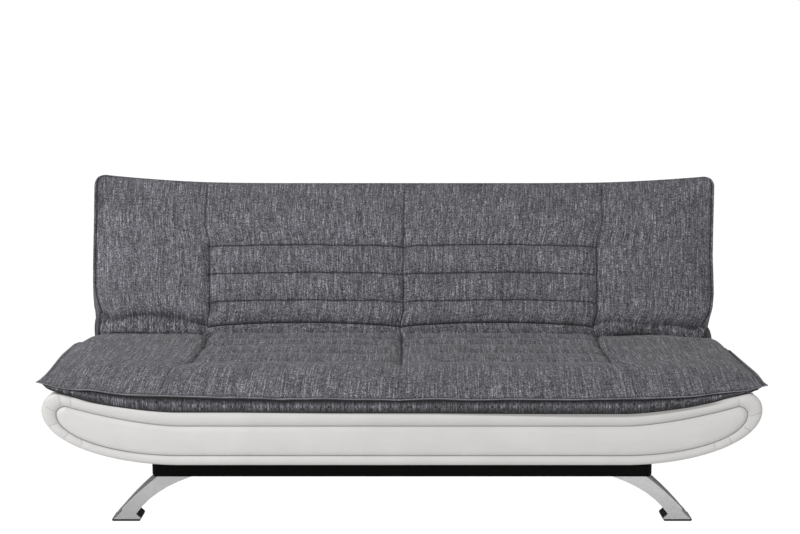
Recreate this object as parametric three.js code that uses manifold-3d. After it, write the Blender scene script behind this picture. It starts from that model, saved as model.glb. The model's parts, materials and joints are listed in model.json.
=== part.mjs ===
// Click clack sofa bed: a seat and a backrest of one pattern, hinged along the edge they share,
// on a black steel base with four splayed metal legs.
// Millimetres, +Z up, front towards -Y, origin on the floor under the middle of the sofa.
// Both units are drawn lying flat: y runs from a unit's free edge to the hinge line.

import * as THREE from 'three';
import { mergeVertices } from 'three/addons/utils/BufferGeometryUtils.js';
import Module from 'manifold-3d';

const wasm = await Module();
wasm.setup();

// Fits
const clearance = 0.3;
const runningGap = 0.4;
const overrun = 4;

// Upholstered unit, lying flat: a level middle, then two ends that curve up to a tip
const unitDepth = 605;
const shellHalfLength = 970;
const backShellDrawIn = 30;
const endRun = 370;
const tipRun = 40;
const shellBottom = 196;
const shellHeight = 148;
const tipCentreRise = 2;
const tipTopRise = 49.5;
const riseExponent = 1.6;

// Seam where the padded border roll meets the inner face of the front panel
const seamEndInset = 39;
const seamTipRun = 26;
const seamBottomRise = 24;
const seamTopDrop = 40;
const seamTipCentreDrop = 10;
const seamTipTopDrop = 35.5;

// Layers of a unit
const panelThickness = 22;
const skinThickness = 6;
const hingePanelThickness = 12;
const boardThickness = 18;
const deckThickness = 25;
const platformThickness = 12;

// Padding of the front panel: roll crest, seam groove and inner crown
const rollDepth = 12;
const rollShoulder = 3;
const grooveDepth = 8;
const innerCrown = 2;
const panelInsetShares = [0, 0, 0.15, 0.5, 0.85, 1, 1.2, 1.7];

// Hinge line
const hingeFaceGap = 10;
const pivotDrop = 38;
const backAngleDegrees = 68;
const pullForwardDegrees = 8;

// Mattress pad: heights are counted from the top of the shell's level middle
const padOverhang = 10;
const backPadDrawIn = 16;
const padSeamRise = 32;
const padShoulderSeamRise = 66;
const padCornerSeamRise = 84;
const padFrontRise = 80;
const padCreaseRise = 117;
const padFrontCrownDepth = 180;
const padEndCrownLength = 130;
const padUndercut = 20;
const padSideTuck = 12;
const padSeamWidth = 15;
const padCrossDepth = 13;
const padLengthwiseDepth = 10;
const padPanelOutset = 10;
const padHingeGap = 2;
const padCreaseRoll = 7;
const padCreaseTuck = 42;
const padTuckDepth = 70;
const padCrossSeamShares = [0.34, 0.49, 0.638, 0.77];
const padCrownRowShares = [0.25, 0.5, 0.75];
const padPanelColumnShares = [0.67, 0.33];

// Base frame
const railWidth = 30;
const railHeight = 67;
const railWall = 2.5;
const railOverhang = 97;
const frontRailInset = 130;
const baseOverhang = 145;
const endCapThickness = 8;
const endCapPlug = 14;
const endCapChamfer = 5;
const sideRailInset = 117;

// Leg
const legInset = 6;
const legTopWidth = 102;
const legSplay = 121;
const soleLength = 78;
const legPlate = 6;
const legWeb = 5;
const legTopDepth = 70;
const ankleDepth = 42;
const ankleHeight = 36;
const heelHeight = 14;
const legFlange = 5;
const flangeInset = 17.5;
const webTaperShare = 0.33;
const outerCurveShares = [0.75, 0.6];
const innerCurveShares = [0.49, 0.69];
const solePlate = 5;
const shoeTop = 20;
const shoeStep = 1;
const shoeSlant = 13;
const shoeLip = 8;
const shoeLength = 42;
const glideThickness = 5;
const glideTaper = 2;

// Fasteners
const boltRadius = 3.5;
const boltHeadRadius = 6.5;
const boltHeadHeight = 4.5;
const legBoltReach = 16;

// Hinge mechanism, sizes counted from the pivot
const hingeRibOutset = 80;
const armThickness = 4;
const armEndRadius = 15;
const armBarTop = -16;
const armBarBottom = -44;
const armLength = 180;
const armNeckLength = 60;
const armLobeReach = 16;
const armLobeEdge = 8;
const armLobeHeight = 30;
const pinRadius = 6;
const pinHeadRadius = 9;
const pinHeadThickness = 3;
const ratchetRootRadius = 18;
const ratchetCrestRadius = 22.5;
const ratchetStops = [0, 34, 68];
const ratchetNotchDegrees = 11;
const pawlAngleDegrees = 250;
const pawlNoseGap = 0.7;
const pawlPinBack = 20;
const pawlPinDrop = 36;
const pawlPinRadius = 3;
const pawlHubRadius = 6.5;
const pawlTail = 14;
const pawlNoseWidth = 5;
const pawlSpringLength = 20;
const pawlSpringRadius = 2.4;
const pawlSpringBore = 1.5;
const springStudRadius = 3;
const pocketRadius = 30;
const pocketDepth = 66;
const pocketDrop = 52;
const pocketSide = 5;
const pocketRise = 10;

// Counts of facets
const roundFacets = 20;
const smallFacets = 12;
const ratchetFacets = 60;
const ellipseSteps = 8;
const tipSteps = 4;
const riseSteps = 6;
const legCurveSteps = 6;

const fullTurn = 360;
const halfTurn = fullTurn / 2;
const degree = Math.PI / halfTurn;
const levelHalfLength = shellHalfLength - endRun;
const shellTop = shellBottom + shellHeight;
const tipCentreHeight = shellTop + tipCentreRise;
const tipTopHeight = shellTop + tipTopRise;
const pivotHeight = shellTop - pivotDrop;
const pivotDepth = unitDepth + hingeFaceGap / 2;
const mitreSlope = Math.tan(((backAngleDegrees + pullForwardDegrees) / 2) * degree);
const railTop = shellBottom - clearance;
const railBottom = railTop - railHeight;
const innerFront = panelThickness + clearance;
const innerRear = unitDepth - hingePanelThickness - clearance;
const frameTopDrop = deckThickness + platformThickness + 2 * clearance;
const seatPadHalfLength = shellHalfLength + padOverhang;
const padPanelHalfLength = levelHalfLength + padPanelOutset;
const padCrossSeams = padCrossSeamShares.map((share) => share * unitDepth);
const hingeRibCentre = levelHalfLength + hingeRibOutset;
const railHalfLength = levelHalfLength + railOverhang;
const baseDepth = unitDepth + baseOverhang;
const sideRailCentre = railHalfLength - sideRailInset;
const legTopOuter = railHalfLength - legInset;
const legTopInner = legTopOuter - legTopWidth;
const soleOuter = legTopOuter + legSplay;
const soleInner = soleOuter - soleLength;
const shoeInner = soleInner - shoeStep;
const shoeShoulder = shoeInner + shoeSlant;

const materials = {
  leather: { color: 0xd8d4d0, roughness: 0.5, metalness: 0 },
  fabric: { color: 0x66686d, roughness: 0.95, metalness: 0 },
  foam: { color: 0xe6dfc6, roughness: 0.95, metalness: 0 },
  plywood: { color: 0xc8a878, roughness: 0.7, metalness: 0 },
  blackBoard: { color: 0x1b1b1b, roughness: 0.8, metalness: 0 },
  blackSteel: { color: 0x141414, roughness: 0.5, metalness: 0.4 },
  legMetal: { color: 0xb6b6b4, roughness: 0.35, metalness: 0.9 },
  zincSteel: { color: 0x9b9c9e, roughness: 0.4, metalness: 0.9 },
  blackPlastic: { color: 0x18181a, roughness: 0.6, metalness: 0 },
};

function piece(name, geometry, material) {
  const mesh = new THREE.Mesh(geometry, new THREE.MeshStandardMaterial(materials[material]));
  mesh.name = name;
  return mesh;
}

// Outlines extruded along one axis, from start over a length

const alongXBasis = new THREE.Matrix4().makeBasis(
  new THREE.Vector3(0, 1, 0),
  new THREE.Vector3(0, 0, 1),
  new THREE.Vector3(1, 0, 0),
);
const alongYBasis = new THREE.Matrix4().makeBasis(
  new THREE.Vector3(1, 0, 0),
  new THREE.Vector3(0, 0, 1),
  new THREE.Vector3(0, -1, 0),
);

function shapeOf(points, hole) {
  const shape = new THREE.Shape(points.map(([x, y]) => new THREE.Vector2(x, y)));
  if (hole) {
    shape.holes.push(new THREE.Path(hole.map(([x, y]) => new THREE.Vector2(x, y))));
  }
  return shape;
}

function extruded(points, length, hole) {
  return new THREE.ExtrudeGeometry(shapeOf(points, hole), { depth: length, bevelEnabled: false });
}

// Points are (y, z)
function alongX(points, start, length, hole) {
  return extruded(points, length, hole).applyMatrix4(alongXBasis).translate(start, 0, 0);
}

// Points are (x, z)
function alongY(points, start, length, hole) {
  return extruded(points, length, hole).applyMatrix4(alongYBasis).translate(0, start + length, 0);
}

// Points are (x, y)
function alongZ(points, start, length, hole) {
  return extruded(points, length, hole).translate(0, 0, start);
}

function rectangle(lowA, lowB, highA, highB) {
  return [[lowA, lowB], [highA, lowB], [highA, highB], [lowA, highB]];
}

function circle(centreA, centreB, radius, facets) {
  const points = [];
  for (let i = 0; i < facets; i += 1) {
    const angle = (i * 2 * Math.PI) / facets;
    points.push([centreA + radius * Math.cos(angle), centreB + radius * Math.sin(angle)]);
  }
  return points;
}

// The radius that keeps a faceted hole clear of a pin
function holeRadius(radius, facets) {
  return (radius + runningGap) / Math.cos(Math.PI / facets);
}

// Joins and cuts of closed bodies

function solidOf(geometry) {
  const bare = geometry.clone();
  bare.deleteAttribute('normal');
  bare.deleteAttribute('uv');
  const merged = mergeVertices(bare);
  const vertProperties = new Float32Array(merged.attributes.position.array);
  const triVerts = new Uint32Array(merged.index.array);
  return new wasm.Manifold(new wasm.Mesh({ numProp: 3, vertProperties, triVerts }));
}

function geometryOf(solid) {
  const mesh = solid.getMesh();
  const geometry = new THREE.BufferGeometry();
  geometry.setAttribute('position', new THREE.BufferAttribute(mesh.vertProperties, mesh.numProp));
  geometry.setIndex(new THREE.BufferAttribute(mesh.triVerts, 1));
  return geometry;
}

function cut(geometry, tools) {
  return geometryOf(tools.reduce((solid, tool) => solid.subtract(solidOf(tool)), solidOf(geometry)));
}

function join(geometries) {
  return geometryOf(geometries.map(solidOf).reduce((whole, part) => whole.add(part)));
}

function common(first, second) {
  return geometryOf(solidOf(first).intersect(solidOf(second)));
}

// A closed body from vertices and triangles, turned so that its faces point out
function closedBody(vertices, triangles) {
  const corner = (index) => new THREE.Vector3(...vertices[index]);
  let volume = 0;
  for (const [a, b, c] of triangles) {
    volume += corner(a).dot(corner(b).cross(corner(c)));
  }
  const order = volume < 0 ? ([a, b, c]) => [a, c, b] : (triangle) => triangle;
  const geometry = new THREE.BufferGeometry();
  geometry.setAttribute('position', new THREE.Float32BufferAttribute(vertices.flat(), 3));
  geometry.setIndex(triangles.map(order).flat());
  return geometry;
}

// Shell outline

// Half of a boat outline from the middle of its bottom, round the tip, to the middle of its top
function halfOutline(size) {
  const points = [[0, size.bottom]];
  for (let i = 0; i <= ellipseSteps; i += 1) {
    const angle = (i / ellipseSteps) * (Math.PI / 2);
    points.push([
      size.level + (size.end - size.level) * Math.sin(angle),
      size.tipCentre - (size.tipCentre - size.bottom) * Math.cos(angle),
    ]);
  }
  for (let i = 1; i <= tipSteps; i += 1) {
    const angle = (i / tipSteps) * (Math.PI / 2);
    points.push([
      size.shoulder + (size.end - size.shoulder) * Math.cos(angle),
      size.tipCentre + (size.tipTop - size.tipCentre) * Math.sin(angle),
    ]);
  }
  for (let i = riseSteps - 1; i >= 0; i -= 1) {
    const share = i / riseSteps;
    points.push([
      size.level + (size.shoulder - size.level) * share,
      size.top + (size.tipTop - size.top) * share ** riseExponent,
    ]);
  }
  points.push([0, size.top]);
  return points;
}

function sided(points, side) {
  return points.map(([x, z]) => [side * x, z]);
}

function mirrored(half) {
  const left = half.slice(1, -1).map(([x, z]) => [-x, z]);
  return [...half, ...left.reverse()];
}

// Sizes of a shell's outer edge and of its seam, from its half length
function shellOf(halfLength) {
  const outer = {
    end: halfLength,
    level: levelHalfLength,
    shoulder: halfLength - tipRun,
    bottom: shellBottom,
    top: shellTop,
    tipCentre: tipCentreHeight,
    tipTop: tipTopHeight,
  };
  const seam = {
    end: halfLength - seamEndInset,
    level: levelHalfLength,
    shoulder: halfLength - seamEndInset - seamTipRun,
    bottom: shellBottom + seamBottomRise,
    top: shellTop - seamTopDrop,
    tipCentre: tipCentreHeight - seamTipCentreDrop,
    tipTop: tipTopHeight - seamTipTopDrop,
  };
  return { outer, seam, topStations: topStationsOf(outer) };
}

// Corners of the shell's top line from the middle to the shoulder
function topStationsOf(size) {
  const corners = [[0, size.top]];
  for (let i = 0; i <= riseSteps; i += 1) {
    const share = i / riseSteps;
    corners.push([
      size.level + (size.shoulder - size.level) * share,
      size.top + (size.tipTop - size.top) * share ** riseExponent,
    ]);
  }
  return corners;
}

const seatShell = shellOf(shellHalfLength);
const backShell = shellOf(shellHalfLength - backShellDrawIn);

// Outline between the outer edge (share 0) and the seam (share 1), and on past it
function insetSize(shell, share) {
  const size = {};
  for (const key of Object.keys(shell.outer)) {
    size[key] = shell.outer[key] + (shell.seam[key] - shell.outer[key]) * share;
  }
  return size;
}

// The outline of what lies inside the skin, with its top lowered under the deck
function innerSize(shell, inset, topDrop) {
  return {
    ...shell.outer,
    end: shell.outer.end - inset,
    bottom: shellBottom + inset,
    top: shellTop - topDrop,
    tipTop: tipTopHeight - topDrop,
  };
}

// Height at x of a line of corners that runs outwards from the middle
function lineHeight(stations, x) {
  const last = stations[stations.length - 1];
  const reach = Math.min(Math.abs(x), last[0]);
  const next = Math.max(1, stations.findIndex(([station]) => station >= reach));
  const [x0, z0] = stations[next - 1];
  const [x1, z1] = stations[next];
  return z0 + ((z1 - z0) * (reach - x0)) / (x1 - x0);
}

const topLine = (shell, x) => lineHeight(shell.topStations, x);

// Cutting tools shared by the pieces beside the hinge

// Everything above the pivot that would meet the other unit when the sofa is pulled forward
function mitreTool() {
  const rise = tipTopHeight - pivotHeight + overrun;
  const wedge = [
    [unitDepth, pivotHeight],
    [unitDepth + overrun, pivotHeight],
    [unitDepth + overrun, pivotHeight + rise],
    [unitDepth - rise * mitreSlope, pivotHeight + rise],
  ];
  return alongX(wedge, -seatPadHalfLength, 2 * seatPadHalfLength);
}

const pocketInner = hingeRibCentre + boardThickness / 2 - pocketSide;
const pocketWidth = 4 * armThickness + 2 * pocketSide;

// Room for one hinge, on the side of x named by its sign
function pocketTools(side) {
  const start = side > 0 ? pocketInner : -pocketInner - pocketWidth;
  const box = rectangle(
    pivotDepth - pocketDepth,
    pivotHeight - pocketDrop,
    pivotDepth,
    pivotHeight + pocketRise,
  );
  return [
    alongX(circle(pivotDepth, pivotHeight, pocketRadius, roundFacets), start, pocketWidth),
    alongX(box, start, pocketWidth),
  ];
}

const hingeRelief = [mitreTool(), ...pocketTools(1), ...pocketTools(-1)];

// Pieces of an upholstered unit

// Padded front panel: a roll round the edge, a seam groove and a crowned inner face
function frontPanel(shell) {
  const depths = [
    panelThickness,
    rollDepth,
    rollShoulder,
    0,
    rollShoulder,
    grooveDepth,
    innerCrown + rollShoulder,
    innerCrown,
  ];
  const rings = depths.map((y, i) =>
    mirrored(halfOutline(insetSize(shell, panelInsetShares[i]))).map(([x, z]) => [x, y, z]),
  );
  const count = rings[0].length;
  const triangles = [];
  for (let ring = 0; ring < rings.length - 1; ring += 1) {
    for (let i = 0; i < count; i += 1) {
      const a = ring * count + i;
      const b = ring * count + ((i + 1) % count);
      triangles.push([a, b, b + count], [a, b + count, a + count]);
    }
  }
  const last = (rings.length - 1) * count;
  const faces = (ring) =>
    THREE.ShapeUtils.triangulateShape(ring.map(([x, , z]) => new THREE.Vector2(x, z)), []);
  for (const [a, b, c] of faces(rings[0])) {
    triangles.push([a, c, b]);
  }
  for (const [a, b, c] of faces(rings[rings.length - 1])) {
    triangles.push([last + a, last + b, last + c]);
  }
  return closedBody(rings.flat(), triangles);
}

// Flat panel that closes the unit on its hinge side, below the deck
function hingePanel(shell) {
  const top = shellTop - deckThickness - clearance;
  const cosine = (tipCentreHeight - top) / (tipCentreHeight - shellBottom);
  const reach = shell.outer.end - levelHalfLength;
  const half = halfOutline(shell.outer).filter(([x, z]) => z < top);
  half.push([levelHalfLength + reach * Math.sqrt(1 - cosine ** 2), top], [0, top]);
  const panel = alongY(mirrored(half), innerRear + clearance, hingePanelThickness);
  return cut(panel, hingeRelief);
}

// Padded skin round one end of the shell, from the level bottom over the tip
function endSkin(shell, side) {
  const onSkin = ([x], i, all) => x >= levelHalfLength && i < all.length - riseSteps - 1;
  const outer = halfOutline(shell.outer).filter(onSkin);
  const inner = halfOutline(innerSize(shell, skinThickness, skinThickness)).filter(onSkin);
  const band = sided([...outer, ...inner.reverse()], side);
  return cut(alongY(band, innerFront, innerRear - innerFront), [mitreTool()]);
}

function bottomBoard() {
  const reach = levelHalfLength - clearance;
  const outline = rectangle(-reach, innerFront, reach, innerRear);
  return alongZ(outline, shellBottom, skinThickness);
}

function endBoard(shell, start) {
  const size = innerSize(shell, skinThickness + clearance, frameTopDrop);
  return alongY(mirrored(halfOutline(size)), start, boardThickness);
}

function rib(shell, centre) {
  const half = boardThickness / 2;
  const lower = halfOutline(innerSize(shell, skinThickness + clearance, 0)).slice(0, ellipseSteps + 2);
  const bottom = lineHeight(lower, Math.abs(centre) + half);
  const top = topLine(shell, Math.abs(centre) - half) - frameTopDrop;
  const front = innerFront + boardThickness + clearance;
  const rear = innerRear - boardThickness - clearance;
  return alongX(rectangle(front, bottom, rear, top), centre - half, boardThickness);
}

// A layer under the whole length of the shell's top line, as far as its two rising ends
function topLayer(shell, end, upper, lower) {
  const right = [...shell.topStations.filter(([x]) => x < end), [end, topLine(shell, end)]];
  const line = [...sided(right.slice(1), -1).reverse(), ...right];
  return [
    ...line.map(([x, z]) => [x, z - lower]),
    ...line.reverse().map(([x, z]) => [x, z - upper]),
  ];
}

// Bent board that carries the deck
function platform(shell) {
  const drop = deckThickness + clearance;
  const end = shell.outer.shoulder - skinThickness;
  const outline = topLayer(shell, end, drop, drop + platformThickness);
  return cut(alongY(outline, innerFront, innerRear - innerFront), hingeRelief);
}

// Foam deck under the mattress
function deck(shell) {
  const outline = topLayer(shell, shell.outer.shoulder - clearance, 0, deckThickness);
  return cut(alongY(outline, innerFront, unitDepth - innerFront), hingeRelief);
}

// Quilted mattress pad

// Stations with a close pair on each side of every seam
function padColumns(halfLength) {
  const right = [
    halfLength,
    halfLength - padSeamWidth,
    halfLength - padEndCrownLength / 2,
    halfLength - padEndCrownLength,
    (halfLength + padPanelHalfLength) / 2,
    padPanelHalfLength + padSeamWidth,
    padPanelHalfLength,
    padPanelHalfLength - padSeamWidth,
    ...padPanelColumnShares.map((share) => share * padPanelHalfLength),
    padSeamWidth,
  ];
  return [...right.map((x) => -x), 0, ...right.reverse()];
}

function padRows() {
  const rows = [0, padSeamWidth, ...padCrownRowShares.map((share) => share * padFrontCrownDepth)];
  for (const [i, seam] of padCrossSeams.entries()) {
    rows.push(seam - padSeamWidth, seam);
    const next = padCrossSeams[i + 1];
    if (next) {
      rows.push(seam + padSeamWidth, (seam + next) / 2);
    }
  }
  return rows;
}

const seamDip = (distance) => Math.max(0, 1 - Math.abs(distance) / padSeamWidth);

function padSeamHeight(shell, x, halfLength) {
  const share = (topLine(shell, x) - shellTop) / tipTopRise;
  const { shoulder } = shell.outer;
  const corner = Math.max(0, Math.abs(x) - shoulder) / (halfLength - shoulder);
  const rise = padSeamRise + (padShoulderSeamRise - padSeamRise) * share;
  return shellTop + rise + (padCornerSeamRise - padShoulderSeamRise) * corner;
}

function padTopHeight(shell, x, y, halfLength) {
  const seam = padSeamHeight(shell, x, halfLength);
  const slope = (padCreaseRise - padFrontRise) / (pivotDepth - padFrontCrownDepth / 2);
  const full = shellTop + padFrontRise + slope * y;
  const frontShare = 1 - Math.max(0, 1 - y / padFrontCrownDepth) ** 2;
  const endShare = 1 - Math.max(0, 1 - (halfLength - Math.abs(x)) / padEndCrownLength) ** 2;
  const lengthwise = [-padPanelHalfLength, 0, padPanelHalfLength];
  const dips = lengthwise.map((centre) => seamDip(x - centre) * padLengthwiseDepth * frontShare);
  if (Math.abs(x) < padPanelHalfLength) {
    dips.push(...padCrossSeams.map((seamDepth) => seamDip(y - seamDepth) * padCrossDepth));
  }
  return seam + (full - seam) * frontShare * endShare - Math.max(...dips);
}

// The pad's outer panels narrow as they run into the crease
function tuckedX(x, y, halfLength) {
  const outside = Math.max(0, Math.abs(x) - padPanelHalfLength) / (halfLength - padPanelHalfLength);
  const creaseStart = padCrossSeams[padCrossSeams.length - 1] - padTuckDepth / 2;
  const share = Math.min(1, Math.max(0, (y - creaseStart) / padTuckDepth));
  return x - Math.sign(x) * outside * padCreaseTuck * share ** 2;
}

function mattress(shell, halfLength) {
  const columns = padColumns(halfLength);
  const rows = padRows();
  const rowCount = rows.length + 1;
  const restHalf = shell.outer.shoulder - skinThickness;
  const restX = (x) => (x * restHalf) / halfLength;
  const restHeight = (x) => topLine(shell, x) + clearance;
  const mitreDepth = (z) => unitDepth - padHingeGap - (z - pivotHeight) * mitreSlope;
  const lastSeam = padCrossSeams[padCrossSeams.length - 1];
  const vertices = [];
  const top = [];
  const bottom = [];
  for (const x of columns) {
    const below = restHeight(restX(x));
    const edgeHeight = padTopHeight(shell, x, lastSeam + padSeamWidth, halfLength);
    const creaseHeight = edgeHeight - padCreaseRoll;
    const creaseDepth = mitreDepth(creaseHeight);
    const height = (y) => padTopHeight(shell, x, y, halfLength);
    const topRow = rows.map((y) => [tuckedX(x, y, halfLength), y, height(y)]);
    topRow.push([tuckedX(x, creaseDepth, halfLength), creaseDepth, creaseHeight]);
    const reach = mitreDepth(below);
    const restRows = rows.map((y) => {
      const share = y / creaseDepth;
      return [restX(x), padUndercut + (reach - padUndercut) * share, below];
    });
    restRows.push([restX(x), reach, below]);
    top.push(topRow.map((point) => vertices.push(point) - 1));
    bottom.push(restRows.map((point) => vertices.push(point) - 1));
  }
  const triangles = [];
  const quad = (a, b, c, d) => triangles.push([a, b, c], [a, c, d]);
  const lastColumn = columns.length - 1;
  const lastRow = rowCount - 1;
  for (let i = 0; i < lastColumn; i += 1) {
    for (let j = 0; j < lastRow; j += 1) {
      quad(top[i][j], top[i + 1][j], top[i + 1][j + 1], top[i][j + 1]);
      quad(bottom[i][j], bottom[i][j + 1], bottom[i + 1][j + 1], bottom[i + 1][j]);
    }
  }
  // Round the pad's edge, one ring tucked in between the seam and the underside
  const edge = [];
  for (let i = 0; i < lastColumn; i += 1) {
    edge.push([i, 0]);
  }
  for (let j = 0; j < lastRow; j += 1) {
    edge.push([lastColumn, j]);
  }
  for (let i = lastColumn; i > 0; i -= 1) {
    edge.push([i, lastRow]);
  }
  for (let j = lastRow; j > 0; j -= 1) {
    edge.push([0, j]);
  }
  const waist = edge.map(([i, j]) => {
    const [topX, topY, topZ] = vertices[top[i][j]];
    const [lowX, lowY, lowZ] = vertices[bottom[i][j]];
    const atEnd = i === 0 || i === lastColumn;
    const x = atEnd ? topX - Math.sign(topX) * padSideTuck : (topX + lowX) / 2;
    const y = j === 0 ? padSideTuck : (topY + lowY) / 2;
    return vertices.push([x, y, (topZ + lowZ) / 2]) - 1;
  });
  for (const [n, [i, j]] of edge.entries()) {
    const next = (n + 1) % edge.length;
    const [nextI, nextJ] = edge[next];
    quad(top[nextI][nextJ], top[i][j], waist[n], waist[next]);
    quad(waist[next], waist[n], bottom[i][j], bottom[nextI][nextJ]);
  }
  return closedBody(vertices, triangles);
}

// Hinge mechanism, drawn about the pivot at the origin of y and z

// Polygon of an arm: a round end at the pivot, a neck and a bar along the rib
function armOutline(lobe) {
  const slope = Math.atan2((armBarTop + armBarBottom) / 2, -armNeckLength);
  const normal = [-Math.sin(slope) * armEndRadius, Math.cos(slope) * armEndRadius];
  const lower = lobe
    ? [[-armLobeReach, armBarBottom], [-armLobeEdge, -armLobeHeight], normal]
    : [[-armNeckLength, armBarBottom], normal];
  return [
    [-armLength, armBarBottom],
    ...lower,
    [-normal[0], -normal[1]],
    [-armNeckLength, armBarTop],
    [-armLength, armBarTop],
  ];
}

const pawlPin = [-pawlPinBack, -pawlPinDrop];
const springStud = [-pawlPinBack - pawlTail - pawlSpringLength - springStudRadius, -pawlPinDrop];

// Start of one layer of the mechanism, counted outwards from the rib
function layerStart(layer) {
  return hingeRibCentre + boardThickness / 2 + clearance + layer * (armThickness + clearance);
}

// A flat piece of the mechanism, on the side of x named by its sign
function plate(outline, layer, side, layers = 1) {
  const thickness = layers * armThickness + (layers - 1) * clearance;
  const inner = layerStart(layer);
  const start = side > 0 ? inner : -inner - thickness;
  return alongX(outline, start, thickness).translate(0, pivotDepth, pivotHeight);
}

// Holes for the pins through an arm of one or more layers
function armHoles(layer, side, withPawlPin, layers = 1) {
  const thickness = layers * armThickness + (layers - 1) * clearance;
  const start = side > 0 ? layerStart(layer) : -layerStart(layer) - thickness;
  const from = start - overrun;
  const length = thickness + 2 * overrun;
  const pivot = circle(pivotDepth, pivotHeight, holeRadius(pinRadius, roundFacets), roundFacets);
  const holes = [alongX(pivot, from, length)];
  if (withPawlPin) {
    const radius = holeRadius(pawlPinRadius, smallFacets);
    const centre = [pivotDepth + pawlPin[0], pivotHeight + pawlPin[1]];
    holes.push(alongX(circle(...centre, radius, smallFacets), from, length));
  }
  return holes;
}

function seatArm(side) {
  const arm = plate(armOutline(true), 0, side);
  const end = plate(circle(0, 0, armEndRadius, roundFacets), 0, side);
  const stud = plate(circle(...springStud, springStudRadius, smallFacets), 0, side, 3);
  return cut(join([arm, end, stud]), armHoles(0, side, true));
}

// Toothed disc of the back arm. The unit is turned end for end, so angles run the other way.
function ratchetOutline() {
  const stops = ratchetStops.map((raise) => halfTurn - (pawlAngleDegrees - raise));
  const points = [];
  for (let i = 0; i < ratchetFacets; i += 1) {
    const degrees = (i * fullTurn) / ratchetFacets;
    const inNotch = stops.some((stop) => {
      const turned = (degrees - stop + halfTurn + fullTurn) % fullTurn;
      return Math.abs(turned - halfTurn) < ratchetNotchDegrees / 2;
    });
    const radius = inNotch ? ratchetRootRadius : ratchetCrestRadius;
    points.push([radius * Math.cos(degrees * degree), radius * Math.sin(degrees * degree)]);
  }
  return points;
}

function backArm(side) {
  const arm = plate(armOutline(false), 1, side);
  const end = plate(circle(0, 0, armEndRadius, roundFacets), 1, side);
  const hub = plate(circle(0, 0, armEndRadius, roundFacets), 1, side, 2);
  const disc = plate(ratchetOutline(), 2, side);
  return cut(join([arm, end, hub, disc]), armHoles(1, side, false, 2));
}

function pawl(side) {
  const radius = ratchetCrestRadius + pawlNoseGap;
  const angle = pawlAngleDegrees * degree;
  const tip = [radius * Math.cos(angle), radius * Math.sin(angle)];
  const along = Math.atan2(tip[1] - pawlPin[1], tip[0] - pawlPin[0]);
  const across = (distance, width) => [
    pawlPin[0] + distance * Math.cos(along) - width * Math.sin(along),
    pawlPin[1] + distance * Math.sin(along) + width * Math.cos(along),
  ];
  const length = Math.hypot(tip[0] - pawlPin[0], tip[1] - pawlPin[1]);
  const nose = [
    across(0, -pawlNoseWidth),
    across(length - pawlNoseWidth, -pawlNoseWidth / 2),
    tip,
    across(length - pawlNoseWidth, pawlNoseWidth / 2),
    across(0, pawlNoseWidth),
  ];
  const tail = rectangle(
    pawlPin[0] - pawlTail,
    pawlPin[1] - pawlNoseWidth / 2,
    pawlPin[0],
    pawlPin[1] + pawlNoseWidth / 2,
  );
  const hub = circle(...pawlPin, pawlHubRadius, roundFacets);
  const body = join([nose, tail, hub].map((outline) => plate(outline, 2, side)));
  const inner = layerStart(2);
  const start = (side > 0 ? inner : -inner - armThickness) - overrun;
  const centre = [pivotDepth + pawlPin[0], pivotHeight + pawlPin[1]];
  const hole = circle(...centre, holeRadius(pawlPinRadius, smallFacets), smallFacets);
  return cut(body, [alongX(hole, start, armThickness + 2 * overrun)]);
}

// A headed pin across the layers of one hinge
function hingePin(side, radius, headRadius, centre) {
  const stack = 3 * armThickness + 4 * clearance;
  const profile = [
    [0, 0],
    [headRadius, 0],
    [headRadius, pinHeadThickness],
    [radius, pinHeadThickness],
    [radius, pinHeadThickness + stack],
    [headRadius, pinHeadThickness + stack],
    [headRadius, 2 * pinHeadThickness + stack],
    [0, 2 * pinHeadThickness + stack],
  ].map(([r, z]) => new THREE.Vector2(r, z));
  const pin = new THREE.LatheGeometry(profile, roundFacets).rotateZ(-Math.PI / 2);
  const inner = layerStart(0) - clearance - pinHeadThickness;
  pin.translate(inner, pivotDepth + centre[0], pivotHeight + centre[1]);
  return side > 0 ? pin : pin.rotateY(Math.PI).translate(0, 0, 2 * (pivotHeight + centre[1]));
}

function pawlSpring(side) {
  const start = pawlPin[0] - pawlTail - pawlSpringLength + clearance;
  const ring = circle(0, 0, pawlSpringRadius, smallFacets);
  const bore = circle(0, 0, pawlSpringBore, smallFacets);
  const tube = alongY(ring, 0, pawlSpringLength - 2 * clearance, bore);
  const middle = layerStart(2) + armThickness / 2;
  return tube.translate(side * middle, pivotDepth + start, pivotHeight + pawlPin[1]);
}

// The pieces of one unit; the backrest's hinge ribs stand one arm further out
function unitPieces(shell, names, hingeLayer, padHalfLength) {
  const hingeCentre = hingeRibCentre + hingeLayer * (armThickness + clearance);
  const rearBoard = cut(endBoard(shell, innerRear - boardThickness), hingeRelief);
  return [
    piece(names.front, frontPanel(shell), 'leather'),
    piece(names.hinge, hingePanel(shell), 'leather'),
    piece(names.plusEnd, endSkin(shell, 1), 'leather'),
    piece(names.minusEnd, endSkin(shell, -1), 'leather'),
    piece(names.bottom, bottomBoard(), names.bottomMaterial),
    piece(names.frontBoard, endBoard(shell, innerFront), 'plywood'),
    piece(names.rearBoard, rearBoard, 'plywood'),
    piece(names.plusRib, rib(shell, hingeCentre), 'plywood'),
    piece(names.middleRib, rib(shell, 0), 'plywood'),
    piece(names.minusRib, rib(shell, -hingeCentre), 'plywood'),
    piece(names.platform, platform(shell), 'plywood'),
    piece(names.deck, deck(shell), 'foam'),
    piece(names.mattress, mattress(shell, padHalfLength), 'fabric'),
  ];
}

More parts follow.
